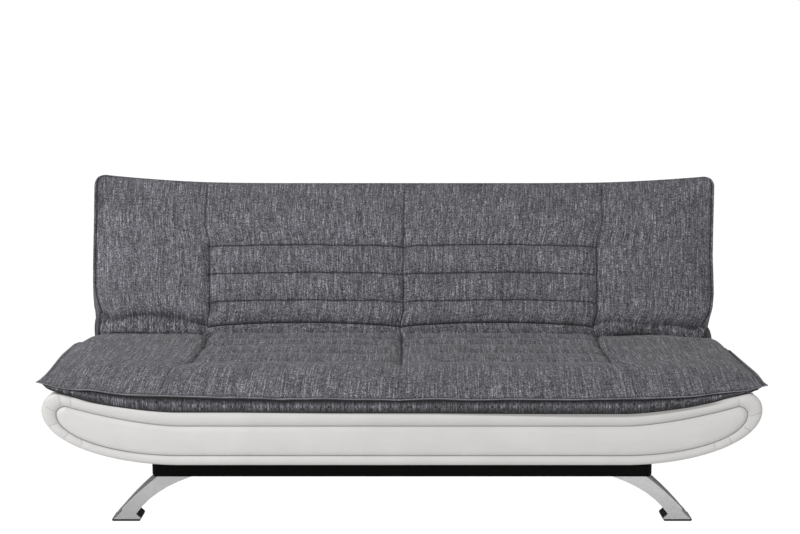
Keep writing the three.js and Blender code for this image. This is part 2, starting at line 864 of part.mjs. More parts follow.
function seatUnit() {
  const unit = new THREE.Group();
  unit.add(
    ...unitPieces(
      seatShell,
      {
        front: 'seat_front_panel',
        hinge: 'seat_rear_panel',
        plusEnd: 'seat_end_right',
        minusEnd: 'seat_end_left',
        bottom: 'seat_bottom_board',
        bottomMaterial: 'blackBoard',
        frontBoard: 'seat_front_board',
        rearBoard: 'seat_rear_board',
        plusRib: 'seat_rib_right',
        middleRib: 'seat_rib_middle',
        minusRib: 'seat_rib_left',
        platform: 'seat_platform',
        deck: 'seat_deck',
        mattress: 'seat_mattress',
      },
      0,
      seatPadHalfLength,
    ),
  );
  for (const [side, word] of [[1, 'right'], [-1, 'left']]) {
    unit.add(
      piece(`hinge_seat_arm_${word}`, seatArm(side), 'zincSteel'),
      piece(`hinge_pivot_pin_${word}`, hingePin(side, pinRadius, pinHeadRadius, [0, 0]), 'zincSteel'),
      piece(`hinge_pawl_${word}`, pawl(side), 'zincSteel'),
      piece(`hinge_pawl_pin_${word}`, hingePin(side, pawlPinRadius, pawlHubRadius, pawlPin), 'zincSteel'),
      piece(`hinge_pawl_spring_${word}`, pawlSpring(side), 'zincSteel'),
    );
  }
  return unit;
}

// The backrest is the same unit, a little shorter, turned end for end about the hinge line, then raised
function backUnit() {
  const unit = new THREE.Group();
  unit.add(
    ...unitPieces(
      backShell,
      {
        front: 'back_top_panel',
        hinge: 'back_lower_panel',
        plusEnd: 'back_end_left',
        minusEnd: 'back_end_right',
        bottom: 'back_rear_panel',
        bottomMaterial: 'leather',
        frontBoard: 'back_top_board',
        rearBoard: 'back_lower_board',
        plusRib: 'back_rib_left',
        middleRib: 'back_rib_middle',
        minusRib: 'back_rib_right',
        platform: 'back_platform',
        deck: 'back_deck',
        mattress: 'back_mattress',
      },
      1,
      seatPadHalfLength - backPadDrawIn,
    ),
  );
  for (const [side, word] of [[1, 'left'], [-1, 'right']]) {
    unit.add(piece(`hinge_back_arm_${word}`, backArm(side), 'zincSteel'));
  }
  unit.rotation.z = Math.PI;
  unit.position.set(0, pivotDepth, -pivotHeight);
  const raised = new THREE.Group();
  raised.add(unit);
  raised.rotation.x = backAngleDegrees * degree;
  raised.position.set(0, pivotDepth, pivotHeight);
  return raised;
}

// Base frame

const railSection = (lowA) => rectangle(lowA, railBottom, lowA + railWidth, railTop);
const railBore = (lowA) =>
  rectangle(lowA + railWall, railBottom + railWall, lowA + railWidth - railWall, railTop - railWall);
const rearRailStart = frontRailInset + baseDepth - railWidth;
const baseMiddle = frontRailInset + baseDepth / 2;
const legBoltPlace = [(legTopInner + legTopOuter) / 2, frontRailInset + railWidth / 2];

function boltHole(x, y, bottom, height) {
  const radius = holeRadius(boltRadius, smallFacets);
  return alongZ(circle(x, y, radius, smallFacets), bottom - overrun, height + 2 * overrun);
}

function lengthwiseRail(start) {
  const half = railHalfLength - endCapThickness - clearance;
  const tube = alongX(railSection(start), -half, 2 * half, railBore(start));
  const holes = [-1, 1].map((side) =>
    boltHole(side * legBoltPlace[0], start + railWidth / 2, railBottom, railWall),
  );
  return cut(tube, holes);
}

function crosswiseRail(centre) {
  const start = frontRailInset + railWidth + clearance;
  const low = centre - railWidth / 2;
  return alongY(railSection(low), start, rearRailStart - clearance - start, railBore(low));
}

// Plastic plug in the open end of a front or rear rail
function endCap(side) {
  const inner = railHalfLength - endCapThickness;
  const head = [
    [inner, railBottom],
    [railHalfLength - endCapChamfer, railBottom],
    [railHalfLength, railBottom + endCapThickness],
    [railHalfLength, railTop],
    [inner, railTop],
  ];
  const plug = rectangle(
    inner - endCapPlug,
    railBottom + railWall + clearance,
    inner + endCapThickness / 2,
    railTop - railWall - clearance,
  );
  const wall = railWall + clearance;
  return join([
    alongY(sided(head, side), frontRailInset, railWidth),
    alongY(sided(plug, side), frontRailInset + wall, railWidth - 2 * wall),
  ]);
}

// Leg, drawn for the front with its plate facing forwards

const legTop = railBottom - clearance;
const soleHeight = glideThickness + clearance;
const legSpread = soleOuter - legTopInner;
const legRise = legTop - soleHeight;

function legPoint([acrossShare, upShare]) {
  return new THREE.Vector2(legTopInner + legSpread * acrossShare, soleHeight + legRise * upShare);
}

function legCurve(from, shares, to) {
  const curve = new THREE.QuadraticBezierCurve(
    new THREE.Vector2(...from),
    legPoint(shares),
    new THREE.Vector2(...to),
  );
  return curve.getPoints(legCurveSteps).map((point) => [point.x, point.y]);
}

const legOuterEdge = legCurve([legTopOuter, legTop], outerCurveShares, [soleOuter, soleHeight]);
const legInnerEdge = legCurve([shoeShoulder, shoeTop], innerCurveShares, [legTopInner, legTop]);

// Web that runs back from the outer edge: deep at the top, narrow at the ankle, deep at the heel
function legWebSolid(side) {
  const slope = Math.atan2(legRise, soleOuter - legTopOuter);
  const shiftX = legWeb * Math.sin(slope);
  const shiftZ = legWeb * Math.cos(slope);
  const inner = legOuterEdge.map(([x, z]) => [x - shiftX, z - shiftZ]);
  const [firstX, firstZ] = inner[0];
  const topCorner = [firstX - (legTop - firstZ), legTop];
  const kept = inner.filter(([, z]) => z > soleHeight);
  const lowCorner = [soleOuter - legWeb, soleHeight];
  const band = [topCorner, ...kept, lowCorner, ...[...legOuterEdge].reverse()];
  const web = alongY(sided(band, side), frontRailInset, legTopDepth);
  const middleDepth = ankleDepth + (legTopDepth - ankleDepth) * webTaperShare;
  const profile = [
    [0, soleHeight],
    [legTopDepth, soleHeight],
    [legTopDepth, heelHeight],
    [ankleDepth, ankleHeight],
    [middleDepth, (ankleHeight + legTop) / 2],
    [legTopDepth, legTop],
    [0, legTop],
  ].map(([y, z]) => [frontRailInset + y, z]);
  return common(web, alongX(profile, -soleOuter, 2 * soleOuter));
}

function leg(side) {
  const outline = [
    ...legOuterEdge,
    [soleInner, soleHeight],
    [shoeInner, shoeLip],
    ...legInnerEdge,
  ];
  const face = alongY(sided(outline, side), frontRailInset, legPlate);
  const flangeStart = legTopInner + flangeInset;
  const flangeOutline = rectangle(flangeStart, legTop - legFlange, legTopOuter, legTop);
  const flange = alongY(sided(flangeOutline, side), frontRailInset, legTopDepth);
  const soleStart = shoeInner + shoeLength + clearance;
  const soleOutline = rectangle(soleStart, soleHeight, soleOuter - legWeb, soleHeight + solePlate);
  const sole = alongY(sided(soleOutline, side), frontRailInset, legTopDepth);
  const [boltX, boltY] = legBoltPlace;
  const hole = boltHole(side * boltX, boltY, legTop - legFlange, legFlange);
  return cut(join([face, legWebSolid(side), flange, sole]), [hole]);
}

// Black plastic foot: a shoe behind the leg's plate on a sole under the whole foot
function foot(side) {
  const end = shoeInner + shoeLength;
  const shoe = [
    [soleInner, glideThickness / 2],
    [end, glideThickness / 2],
    [end, shoeTop],
    [shoeShoulder, shoeTop],
    [shoeInner, shoeLip],
  ];
  const sole = [
    [soleInner + glideTaper, 0],
    [soleOuter, 0],
    [soleOuter + glideTaper, glideThickness],
    [soleInner, glideThickness],
  ];
  const start = frontRailInset + legPlate + clearance;
  return join([
    alongY(sided(shoe, side), start, legTopDepth - legPlate - clearance),
    alongY(sided(sole, side), frontRailInset, legTopDepth),
  ]);
}

function legBolt(side) {
  const profile = [
    [0, 0],
    [boltHeadRadius, 0],
    [boltHeadRadius, boltHeadHeight],
    [boltRadius, boltHeadHeight],
    [boltRadius, boltHeadHeight + legBoltReach],
    [0, boltHeadHeight + legBoltReach],
  ].map(([r, z]) => new THREE.Vector2(r, z));
  const bolt = new THREE.LatheGeometry(profile, smallFacets).rotateX(Math.PI / 2);
  const [x, y] = legBoltPlace;
  const seat = legTop - legFlange - clearance - boltHeadHeight;
  return bolt.translate(side * x, y, seat);
}

// The pieces at one long side of the base; the rear side is the front one turned about
function baseSide(word, plusWord, minusWord) {
  const pieces = new THREE.Group();
  for (const [side, sideWord] of [[1, plusWord], [-1, minusWord]]) {
    const corner = `${word}_${sideWord}`;
    pieces.add(
      piece(`rail_cap_${corner}`, endCap(side), 'blackPlastic'),
      piece(`leg_${corner}`, leg(side), 'legMetal'),
      piece(`foot_${corner}`, foot(side), 'blackPlastic'),
      piece(`leg_bolt_${corner}`, legBolt(side), 'zincSteel'),
    );
  }
  return pieces;
}

function baseFrame() {
  const rear = baseSide('rear', 'left', 'right');
  rear.rotation.z = Math.PI;
  rear.position.y = 2 * baseMiddle;
  const base = new THREE.Group();
  base.add(
    piece('base_front_rail', lengthwiseRail(frontRailInset), 'blackSteel'),
    piece('base_rear_rail', lengthwiseRail(rearRailStart), 'blackSteel'),
    piece('base_side_rail_left', crosswiseRail(-sideRailCentre), 'blackSteel'),
    piece('base_side_rail_right', crosswiseRail(sideRailCentre), 'blackSteel'),
    piece('base_center_rail', crosswiseRail(0), 'blackSteel'),
    baseSide('front', 'right', 'left'),
    rear,
  );
  return base;
}

const sofa = new THREE.Group();
sofa.add(baseFrame(), seatUnit(), backUnit());
sofa.updateMatrixWorld(true);
const extent = new THREE.Box3().setFromObject(sofa, true);
sofa.position.y = -(extent.min.y + extent.max.y) / 2;

export default sofa;
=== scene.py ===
"""Looks of a click clack sofa bed: quilted fabric mattress, padded leather shells, steel base and metal legs."""

import json
import math

import bmesh
import bpy
import numpy as np
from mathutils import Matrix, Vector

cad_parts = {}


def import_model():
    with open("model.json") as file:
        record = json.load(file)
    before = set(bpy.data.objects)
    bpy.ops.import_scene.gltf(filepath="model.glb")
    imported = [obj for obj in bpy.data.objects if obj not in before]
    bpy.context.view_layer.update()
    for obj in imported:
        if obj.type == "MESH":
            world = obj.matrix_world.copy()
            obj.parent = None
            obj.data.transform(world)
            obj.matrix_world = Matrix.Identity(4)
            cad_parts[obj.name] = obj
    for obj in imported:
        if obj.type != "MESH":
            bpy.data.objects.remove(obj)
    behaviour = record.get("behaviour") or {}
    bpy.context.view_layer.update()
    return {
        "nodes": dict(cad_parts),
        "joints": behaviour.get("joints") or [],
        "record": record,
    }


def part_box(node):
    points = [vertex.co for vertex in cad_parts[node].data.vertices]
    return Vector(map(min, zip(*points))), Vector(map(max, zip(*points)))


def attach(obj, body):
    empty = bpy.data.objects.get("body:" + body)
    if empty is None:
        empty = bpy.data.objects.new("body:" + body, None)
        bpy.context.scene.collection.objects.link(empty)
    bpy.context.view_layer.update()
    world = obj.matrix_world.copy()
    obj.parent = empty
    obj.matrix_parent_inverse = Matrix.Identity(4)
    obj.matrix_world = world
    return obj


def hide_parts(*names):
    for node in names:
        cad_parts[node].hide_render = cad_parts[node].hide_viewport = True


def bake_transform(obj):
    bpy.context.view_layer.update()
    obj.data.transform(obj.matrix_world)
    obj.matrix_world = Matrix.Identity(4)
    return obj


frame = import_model()

# Places taken from the frame, in metres
HINGE = next(j for j in frame["joints"] if j["name"] == "back_recline")
PIVOT_Y, PIVOT_Z = HINGE["pos_m"][1], HINGE["pos_m"][2]
RAISE = math.radians(HINGE["range_deg"][1])
PAD_LOW, PAD_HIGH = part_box("seat_mattress")
PANEL_LOW, PANEL_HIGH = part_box("seat_front_panel")
LEG_LOW, LEG_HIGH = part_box("leg_front_right")
FOOT_LOW, FOOT_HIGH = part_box("foot_front_right")
FRONT_Y = PAD_LOW.y
UNIT_REACH = PIVOT_Y - FRONT_Y
REAR_AXIS = (LEG_LOW.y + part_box("leg_rear_right")[1].y) / 2

# Shell outline: a level middle and two ends that curve up to a tip
SHELL_END = PANEL_HIGH.x
BACK_SHELL_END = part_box("back_top_panel")[1].x
SHELL_BOTTOM = PANEL_LOW.z
TIP_TOP = PANEL_HIGH.z
SHELL_TOP = SHELL_BOTTOM + 0.148
LEVEL_HALF = SHELL_END - 0.370
TIP_RUN = 0.040
TIP_CENTRE = SHELL_TOP + 0.002
RISE_POWER = 1.6
PANEL_DEPTH = 0.022
SKIN = 0.0055
SKIN_REAR = UNIT_REACH - 0.0176

# Seam between the border roll and the inner face
SEAM_END_INSET = 0.039
SEAM_TIP_RUN = 0.026
SEAM_BOTTOM_RISE = 0.0255
SEAM_TOP_DROP = 0.040
SEAM_TIP_CENTRE_DROP = 0.010
SEAM_TIP_TOP_DROP = 0.0355
GROOVE_DEPTH = 0.009
INNER_CROWN_DEPTH = 0.0025

# Dart seams across the border roll at the tips, (x, height) at the inner seam and at the outer edge
DARTS = (
    ((-0.889, 0.359), (-0.890, 0.389)),
    ((-0.917, 0.360), (-0.919, 0.385)),
    ((-0.931, 0.343), (-0.955, 0.357)),
    ((-0.920, 0.315), (-0.949, 0.305)),
    ((-0.891, 0.293), (-0.910, 0.272)),
    ((-0.867, 0.276), (-0.861, 0.254)),
    ((0.905, 0.357), (0.905, 0.380)),
    ((0.934, 0.331), (0.968, 0.343)),
    ((0.922, 0.302), (0.947, 0.286)),
    ((0.879, 0.279), (0.889, 0.258)),
    ((0.840, 0.263), (0.845, 0.244)),
)

# Mattress, in the frame of a unit lying flat: depth runs from its free edge to the hinge line
PAD_HALF = PAD_HIGH.x
PANEL_SEAM = 0.610
FLANGE = 0.008
FLANGE_HALF_THICKNESS = 0.0021
SEAT_CROSS_SEAMS = (0.206, 0.296, 0.386, 0.466)
BACK_CROSS_SEAMS = (0.216, 0.306, 0.394)
CREASE_DEPTH = 0.553
CREASE_DROP_INSIDE = 0.006
CREASE_FORWARD = 0.021
SEAM_DRIFT = 0.012
CREASE_DROP_OUTSIDE = 0.024
CREASE_END_RISE = 0.008
VALLEY_DEPTH = 0.466
VALLEY_DROP = 0.027
VALLEY_LEFT = (
    (0, 0.472),
    (0.12, 0.463),
    (0.3, 0.449),
    (0.53, 0.440),
    (0.7, 0.444),
    (0.82, 0.454),
    (0.92, 0.450),
    (1, 0.414),
)
VALLEY_RIGHT = (
    (0, 0.472),
    (0.15, 0.456),
    (0.35, 0.468),
    (0.55, 0.474),
    (0.70, 0.470),
    (0.88, 0.484),
    (0.97, 0.474),
    (1, 0.462),
)
STRIP_BULGE = 0.014

# How much higher the front lip lies than its even curve, against the distance from the middle
LIP_RISE = (
    (-0.980, 0.000),
    (-0.961, 0.0015),
    (-0.894, 0.004),
    (-0.825, 0.0095),
    (-0.758, 0.0075),
    (-0.688, 0.0090),
    (-0.621, 0.012),
    (-0.552, 0.0105),
    (-0.485, 0.0068),
    (-0.300, 0.0025),
    (0.000, 0.0025),
    (0.463, 0.0032),
    (0.600, 0.0040),
    (0.667, 0.0024),
    (0.736, 0.000),
    (0.803, -0.0024),
    (0.873, -0.0040),
    (0.924, -0.0080),
    (0.980, -0.0086),
)
# How far the band hangs over the shell's top, as a height that BAND_DROP_SHARES above 1 are taken of
BAND_HANG = (
    (-0.85, 0.035),
    (-0.75, 0.014),
    (-0.45, 0.012),
    (-0.20, 0.032),
    (0.10, 0.038),
    (0.45, 0.070),
    (0.65, 0.070),
    (0.80, 0.065),
)
CORNER_RADIUS = 0.040
CORNER_PULL_LEFT = 0.016
CORNER_PULL_RIGHT = 0.010
# Sideways shift of the backrest's pad against the depth from its free edge
BACK_SIDE_SHIFT = ((0, 0.008), (0.25, 0.0030), (0.36, 0.004), (0.43, 0.004), (0.466, -0.005), (0.504, 0))
UNDERSIDE_END = 0.574
FRONT_CROWN = 0.170
RIM_STEPS = (0, 0.002, 0.0045, 0.0065, 0.0085, 0.0115, 0.016, 0.022, 0.030, 0.038, 0.050)
STITCH_REACH = 0.0045
SEAT_PATTERN = 0.62

# Profile of the pad's side band under the flange, against the distance in from the rim
BAND_AT = (0, 0.0065, 0.0085, 0.0115, 0.016, 0.022, 0.030, 0.038, 0.050)
BAND_FRONT_INSETS = (0, 0.0055, 0.0065, 0.0060, 0.0042, 0.0030, 0.0024, 0.0045, 0.0260)
BAND_SIDE_INSETS = (0, 0.0065, 0.0090, 0.0120, 0.0160, 0.0240, 0.0360, 0.0520, 0.0660)
BAND_DROP_SHARES = (0.03, 0.09, 0.15, 0.26, 0.52, 0.90, 1.10, 1.18, 1)
# Painted shade on the band: the flange's front face, the band under the lip and the gap down to the shell are
# darkened as shade, the band's middle less
BAND_PAINTED_SHADE = (0.6, 0.95, 1, 0.88, 0.27, 0.74, 1, 1, 1)
# Share of the drop against the distance from the side: the band tapers to the front corners
BAND_CORNER = ((0, 0.30), (0.03, 0.42), (0.07, 0.66), (0.12, 0.90), (0.18, 1))


# Small helpers


def smooth(x):
    x = np.clip(x, 0, 1)
    return x * x * (3 - 2 * x)


def soft_noise(u, v, cell_u, cell_v, seed):
    """Smooth noise from -1 to 1 over two coordinates, with cells of the given sizes."""
    table = np.random.default_rng(seed).uniform(-1, 1, (64, 64))
    a, b = np.asarray(u) / cell_u, np.asarray(v) / cell_v
    i, j = np.floor(a).astype(int), np.floor(b).astype(int)
    s, t = smooth(a - i), smooth(b - j)
    low = table[i % 64, j % 64] * (1 - s) + table[(i + 1) % 64, j % 64] * s
    high = table[i % 64, (j + 1) % 64] * (1 - s) + table[(i + 1) % 64, (j + 1) % 64] * s
    return low * (1 - t) + high * t


def stations(start, end, step, seams=(), offsets=(0.0015, 0.0035, 0.0065, 0.011, 0.017)):
    """Sorted places from start to end about a step apart, closer together near each seam."""
    fixed = [start, end, *[s for s in seams if start <= s <= end]]
    near = [s + sign * o for s in seams for o in offsets for sign in (-1, 1)]
    near = [n for n in near if start < n < end and min(abs(n - f) for f in fixed) > 0.001]
    places = sorted({round(p, 6) for p in fixed + near})
    filled = []
    for a, b in zip(places, places[1:]):
        count = max(1, math.ceil((b - a) / step - 1e-6))
        filled += [a + (b - a) * k / count for k in range(count)]
    return np.array([*filled, places[-1]])


def seat_place(x, depth, height):
    """Points of the seat unit in the row frame."""
    x, depth, height = np.broadcast_arrays(x, depth, height)
    return np.stack([x, FRONT_Y + depth, height], -1)


def back_place(x, depth, height):
    """Points of the backrest unit in the row frame."""
    x, depth, height = np.broadcast_arrays(x, depth, height)
    along, out = UNIT_REACH - depth, height - PIVOT_Z
    y = PIVOT_Y + along * math.cos(RAISE) - out * math.sin(RAISE)
    z = PIVOT_Z + along * math.sin(RAISE) + out * math.cos(RAISE)
    return np.stack([x, y, z], -1)


def back_local(y, z):
    """Depth and height, in the backrest unit, of a point of the row frame."""
    along = (y - PIVOT_Y) * math.cos(RAISE) + (z - PIVOT_Z) * math.sin(RAISE)
    out = -(y - PIVOT_Y) * math.sin(RAISE) + (z - PIVOT_Z) * math.cos(RAISE)
    return UNIT_REACH - along, PIVOT_Z + out


def grid_faces(rows, columns, first=0):
    index = first + np.arange(rows * columns).reshape(rows, columns)
    a, b = index[:-1, :-1].ravel(), index[:-1, 1:].ravel()
    c, d = index[1:, 1:].ravel(), index[1:, :-1].ravel()
    return np.stack([a, b, c, d], 1)


def mesh_object(name, points, faces, material):
    mesh = bpy.data.meshes.new(name)
    mesh.from_pydata(np.asarray(points).tolist(), [], [list(map(int, f)) for f in faces])
    mesh.polygons.foreach_set("use_smooth", [True] * len(mesh.polygons))
    mesh.materials.append(material)
    mesh.validate()
    made = bpy.data.objects.new(name, mesh)
    bpy.context.scene.collection.objects.link(made)
    return made


def face_outwards(piece):
    edit = bmesh.new()
    edit.from_mesh(piece.data)
    bmesh.ops.recalc_face_normals(edit, faces=edit.faces)
    edit.to_mesh(piece.data)
    edit.free()


def add_attribute(piece, name, kind, values):
    attribute = piece.data.attributes.new(name, kind, "POINT")
    field = "vector" if kind == "FLOAT_VECTOR" else "value"
    attribute.data.foreach_set(field, np.asarray(values, np.float32).ravel())


def add_bevel(piece, width, segments=2):
    bevel = piece.modifiers.new("Edges", "BEVEL")
    bevel.width = width
    bevel.segments = segments
    bevel.limit_method = "ANGLE"
    bevel.angle_limit = math.radians(35)
    bevel.harden_normals = False


# Materials

# Threads per metre across and along the cloth, slubs per metre along a thread, a step between threads that
# leaves their noise unrelated, and the bands of Blender's wave texture per unit of scale
WARP_THREADS = 430
WEFT_THREADS = 430
SLUBS = 17
WEFT_SLUBS = 48
THREAD_SPREAD = 7.31
WAVE_BANDS = 10 / math.pi
STITCH_PITCH = 0.0100

# Width of the painted dark strip beside a leg's plate, which stands for the web's outer side in shade, against the
# share of the leg's height
LEG_PAINTED_WEB_WIDTHS = (
    (0, 0.001),
    (0.08, 0.0050),
    (0.17, 0.0072),
    (0.215, 0.0060),
    (0.26, 0.0012),
    (0.39, 0.0028),
    (0.58, 0.0050),
    (0.77, 0.0066),
    (1, 0.0075),
)
# Width of the painted shadow line between the plate and the strip
LEG_GROOVE_SHADOW = 0.0013


class Nodes:
    """A material's node tree with short ways to add and link nodes."""

    def __init__(self, name):
        self.material = bpy.data.materials.new(name)
        self.material.use_nodes = True
        self.tree = self.material.node_tree
        self.shader = self.tree.nodes["Principled BSDF"]

    def add(self, kind, **values):
        node = self.tree.nodes.new(kind)
        for key, value in values.items():
            setattr(node, key, value)
        return node

    def link(self, source, target):
        self.tree.links.new(source, target)

    def mapped(self, source, scale):
        node = self.add("ShaderNodeMapping")
        node.inputs["Scale"].default_value = scale
        self.link(source, node.inputs["Vector"])
        return node.outputs["Vector"]

    def noise(self, vector, scale, detail=3.0, roughness=0.5):
        node = self.add("ShaderNodeTexNoise")
        node.inputs["Scale"].default_value = scale
        node.inputs["Detail"].default_value = detail
        node.inputs["Roughness"].default_value = roughness
        self.link(vector, node.inputs["Vector"])
        return node.outputs["Fac"]

    def ramp(self, factor, stops):
        node = self.add("ShaderNodeValToRGB")
        band = node.color_ramp
        while len(band.elements) < len(stops):
            band.elements.new(0.5)
        for element, (place, colour) in zip(band.elements, stops):
            element.position = place
            element.color = (*colour, 1)
        self.link(factor, node.inputs["Fac"])
        return node.outputs["Color"]

    def math(self, operation, a, b):
        node = self.add("ShaderNodeMath", operation=operation)
        for socket, value in zip(node.inputs, (a, b)):
            if isinstance(value, (int, float)):
                socket.default_value = value
            else:
                self.link(value, socket)
        return node.outputs["Value"]

    def mix(self, factor, a, b, blend="MIX"):
        node = self.add("ShaderNodeMix", data_type="RGBA", blend_type=blend)
        for socket, value in zip((node.inputs[0], node.inputs[6], node.inputs[7]), (factor, a, b)):
            if isinstance(value, (int, float)):
                socket.default_value = value
            elif isinstance(value, tuple):
                socket.default_value = (*value, 1)
            else:
                self.link(value, socket)
        return node.outputs[2]

    def curve(self, factor, points):
        """A value read off a line through the given points."""
        node = self.add("ShaderNodeFloatCurve")
        line = node.mapping.curves[0]
        line.points[0].location, line.points[-1].location = points[0], points[-1]
        for place, value in points[1:-1]:
            line.points.new(place, value)
        for point in line.points:
            point.handle_type = "VECTOR"
        node.mapping.update()
        self.link(factor, node.inputs["Value"])
        return node.outputs["Value"]

    def bump(self, height, strength, distance, normal=None):
        node = self.add("ShaderNodeBump")
        node.inputs["Strength"].default_value = strength
        node.inputs["Distance"].default_value = distance
        self.link(height, node.inputs["Height"])
        if normal is not None:
            self.link(normal, node.inputs["Normal"])
        return node.outputs["Normal"]

    def attribute(self, name, output):
        node = self.add("ShaderNodeAttribute", attribute_name=name)
        return node.outputs[output]

    def position(self):
        return self.add("ShaderNodeTexCoord").outputs["Object"]


def fabric_material():
    """Grey melange weave: each warp thread has its own slubs, each crossing its own tone, and sewn lines are darker.
    The seam attribute also holds painted shade: under the flange's lip, in the gap down to the shell and in the folds
    low on the backrest. The cloth attribute holds metres across and along the cloth."""
    n = Nodes("grey_fabric")
    cloth = n.attribute("cloth", "Vector")
    axes = n.add("ShaderNodeSeparateXYZ")
    n.link(cloth, axes.inputs[0])
    warp = n.math("FLOOR", n.math("MULTIPLY", axes.outputs["X"], WARP_THREADS), 0)
    weft = n.math("FLOOR", n.math("MULTIPLY", axes.outputs["Y"], WEFT_THREADS), 0)
    slub_place = n.add("ShaderNodeCombineXYZ")
    n.link(n.math("MULTIPLY", warp, THREAD_SPREAD), slub_place.inputs["X"])
    n.link(n.math("MULTIPLY", axes.outputs["Y"], SLUBS), slub_place.inputs["Y"])
    slubs = n.noise(slub_place.outputs[0], 1.0, 2.0, 0.6)
    dash_place = n.add("ShaderNodeCombineXYZ")
    n.link(n.math("MULTIPLY", axes.outputs["X"], WEFT_SLUBS), dash_place.inputs["X"])
    n.link(n.math("MULTIPLY", weft, THREAD_SPREAD), dash_place.inputs["Y"])
    dashes = n.noise(dash_place.outputs[0], 1.0, 1.0, 0.5)
    crossing_place = n.add("ShaderNodeCombineXYZ")
    n.link(warp, crossing_place.inputs["X"])
    n.link(weft, crossing_place.inputs["Y"])
    crossing = n.add("ShaderNodeTexWhiteNoise", noise_dimensions="3D")
    n.link(crossing_place.outputs[0], crossing.inputs["Vector"])
    warp_tone = n.ramp(
        slubs,
        (
            (0.28, (0.056, 0.054, 0.061)),
            (0.45, (0.108, 0.105, 0.118)),
            (0.55, (0.153, 0.150, 0.168)),
            (0.72, (0.306, 0.299, 0.328)),
        ),
    )
    crossing_tone = n.ramp(crossing.outputs["Value"], ((0.0, (0.26,) * 3), (1.0, (1.78,) * 3)))
    dash_tone = n.ramp(dashes, ((0.30, (0.62,) * 3), (0.42, (1.0,) * 3), (0.58, (1.0,) * 3), (0.70, (1.45,) * 3)))
    woven = n.mix(1.0, n.mix(1.0, warp_tone, dash_tone, "MULTIPLY"), crossing_tone, "MULTIPLY")
    patches = n.noise(cloth, 7.0, 2.0)
    shade = n.ramp(patches, ((0.3, (0.92,) * 3), (0.7, (1.07,) * 3)))
    toned = n.mix(1.0, woven, shade, "MULTIPLY")
    # The seam attribute darkens the sewn lines and also carries painted shade under the lip, in the gap to the shell
    # and in the backrest's low folds
    seam = n.attribute("seam", "Fac")
    shaded = n.mix(n.math("MULTIPLY", seam, 0.95), toned, (0.006, 0.006, 0.007))
    stitch = n.add("ShaderNodeSeparateXYZ")
    n.link(n.attribute("stitch", "Vector"), stitch.inputs[0])
    dash = n.math("SINE", n.math("MULTIPLY", stitch.outputs["Y"], 2 * math.pi / STITCH_PITCH), 0)
    thread = n.math("MULTIPLY", n.math("GREATER_THAN", dash, 0.1), n.math("GREATER_THAN", stitch.outputs["X"], 0.45))
    colour = n.mix(n.math("MULTIPLY", thread, 0.8), shaded, (0.42, 0.41, 0.44))
    n.link(colour, n.shader.inputs["Base Color"])
    ridges = n.add("ShaderNodeTexWave", wave_type="BANDS", bands_direction="X")
    ridges.inputs["Scale"].default_value = WARP_THREADS / WAVE_BANDS
    n.link(cloth, ridges.inputs["Vector"])
    bars = n.add("ShaderNodeTexWave", wave_type="BANDS", bands_direction="Y")
    bars.inputs["Scale"].default_value = WEFT_THREADS / WAVE_BANDS
    n.link(cloth, bars.inputs["Vector"])
    weave = n.math("MAXIMUM", ridges.outputs["Fac"], bars.outputs["Fac"])
    thick = n.bump(slubs, 0.4, 0.0012)
    n.link(n.bump(weave, 0.45, 0.0007, thick), n.shader.inputs["Normal"])
    n.shader.inputs["Roughness"].default_value = 0.92
    n.shader.inputs["Specular IOR Level"].default_value = 0.25
    n.shader.inputs["Sheen Weight"].default_value = 0.15
    n.shader.inputs["Sheen Roughness"].default_value = 0.5
    return n.material


def leather_material(name, shade=1.0):
    """White faux leather: fine pebble grain, faint mottling, darker in the sewn grooves and where the seam attribute
    lays on painted shade.
    """
    n = Nodes(name)
    place = n.position()
    mottle = n.noise(place, 9.0, 3.0)
    tone = n.ramp(
        mottle,
        (
            (0.30, (0.580 * shade, 0.570 * shade, 0.558 * shade)),
            (0.70, (0.620 * shade, 0.610 * shade, 0.598 * shade)),
        ),
    )
    # The seam attribute darkens the sewn grooves and also carries painted shade on the roll's upper side and under
    # the mattress's overhang
    seam = n.attribute("seam", "Fac")
    colour = n.mix(n.math("MULTIPLY", seam, 0.80), tone, (0.150, 0.138, 0.128))
    n.link(colour, n.shader.inputs["Base Color"])
    grain = n.add("ShaderNodeTexVoronoi", feature="F1")
    grain.inputs["Scale"].default_value = 620.0
    n.link(place, grain.inputs["Vector"])
    soft = n.bump(n.noise(place, 34.0, 4.0), 0.22, 0.004)
    n.link(n.bump(grain.outputs["Distance"], 0.25, 0.0006, soft), n.shader.inputs["Normal"])
    rough = n.ramp(n.noise(place, 60.0), ((0.3, (0.42,) * 3), (0.7, (0.54,) * 3)))
    n.link(rough, n.shader.inputs["Roughness"])
    n.shader.inputs["Specular IOR Level"].default_value = 0.4
    n.shader.inputs["Coat Weight"].default_value = 0.06
    n.shader.inputs["Coat Roughness"].default_value = 0.35
    return n.material


def leg_outer_edge():
    """Outer edge of a front leg's plate, as (height, distance from the middle), taken from the CAD node."""
    outermost = {}
    for vertex in frame["nodes"]["leg_front_right"].data.vertices:
        if vertex.co.y < LEG_LOW.y + 0.001:
            height = round(vertex.co.z, 4)
            outermost[height] = max(vertex.co.x, outermost.get(height, 0))
    edge = []
    for z, x in sorted(outermost.items()):
        while len(edge) > 1:
            (z0, x0), (z1, x1) = edge[-2:]
            if (x1 - x0) * (z - z0) > (x - x0) * (z1 - z0):
                break
            edge.pop()
        edge.append((z, x))
    return edge


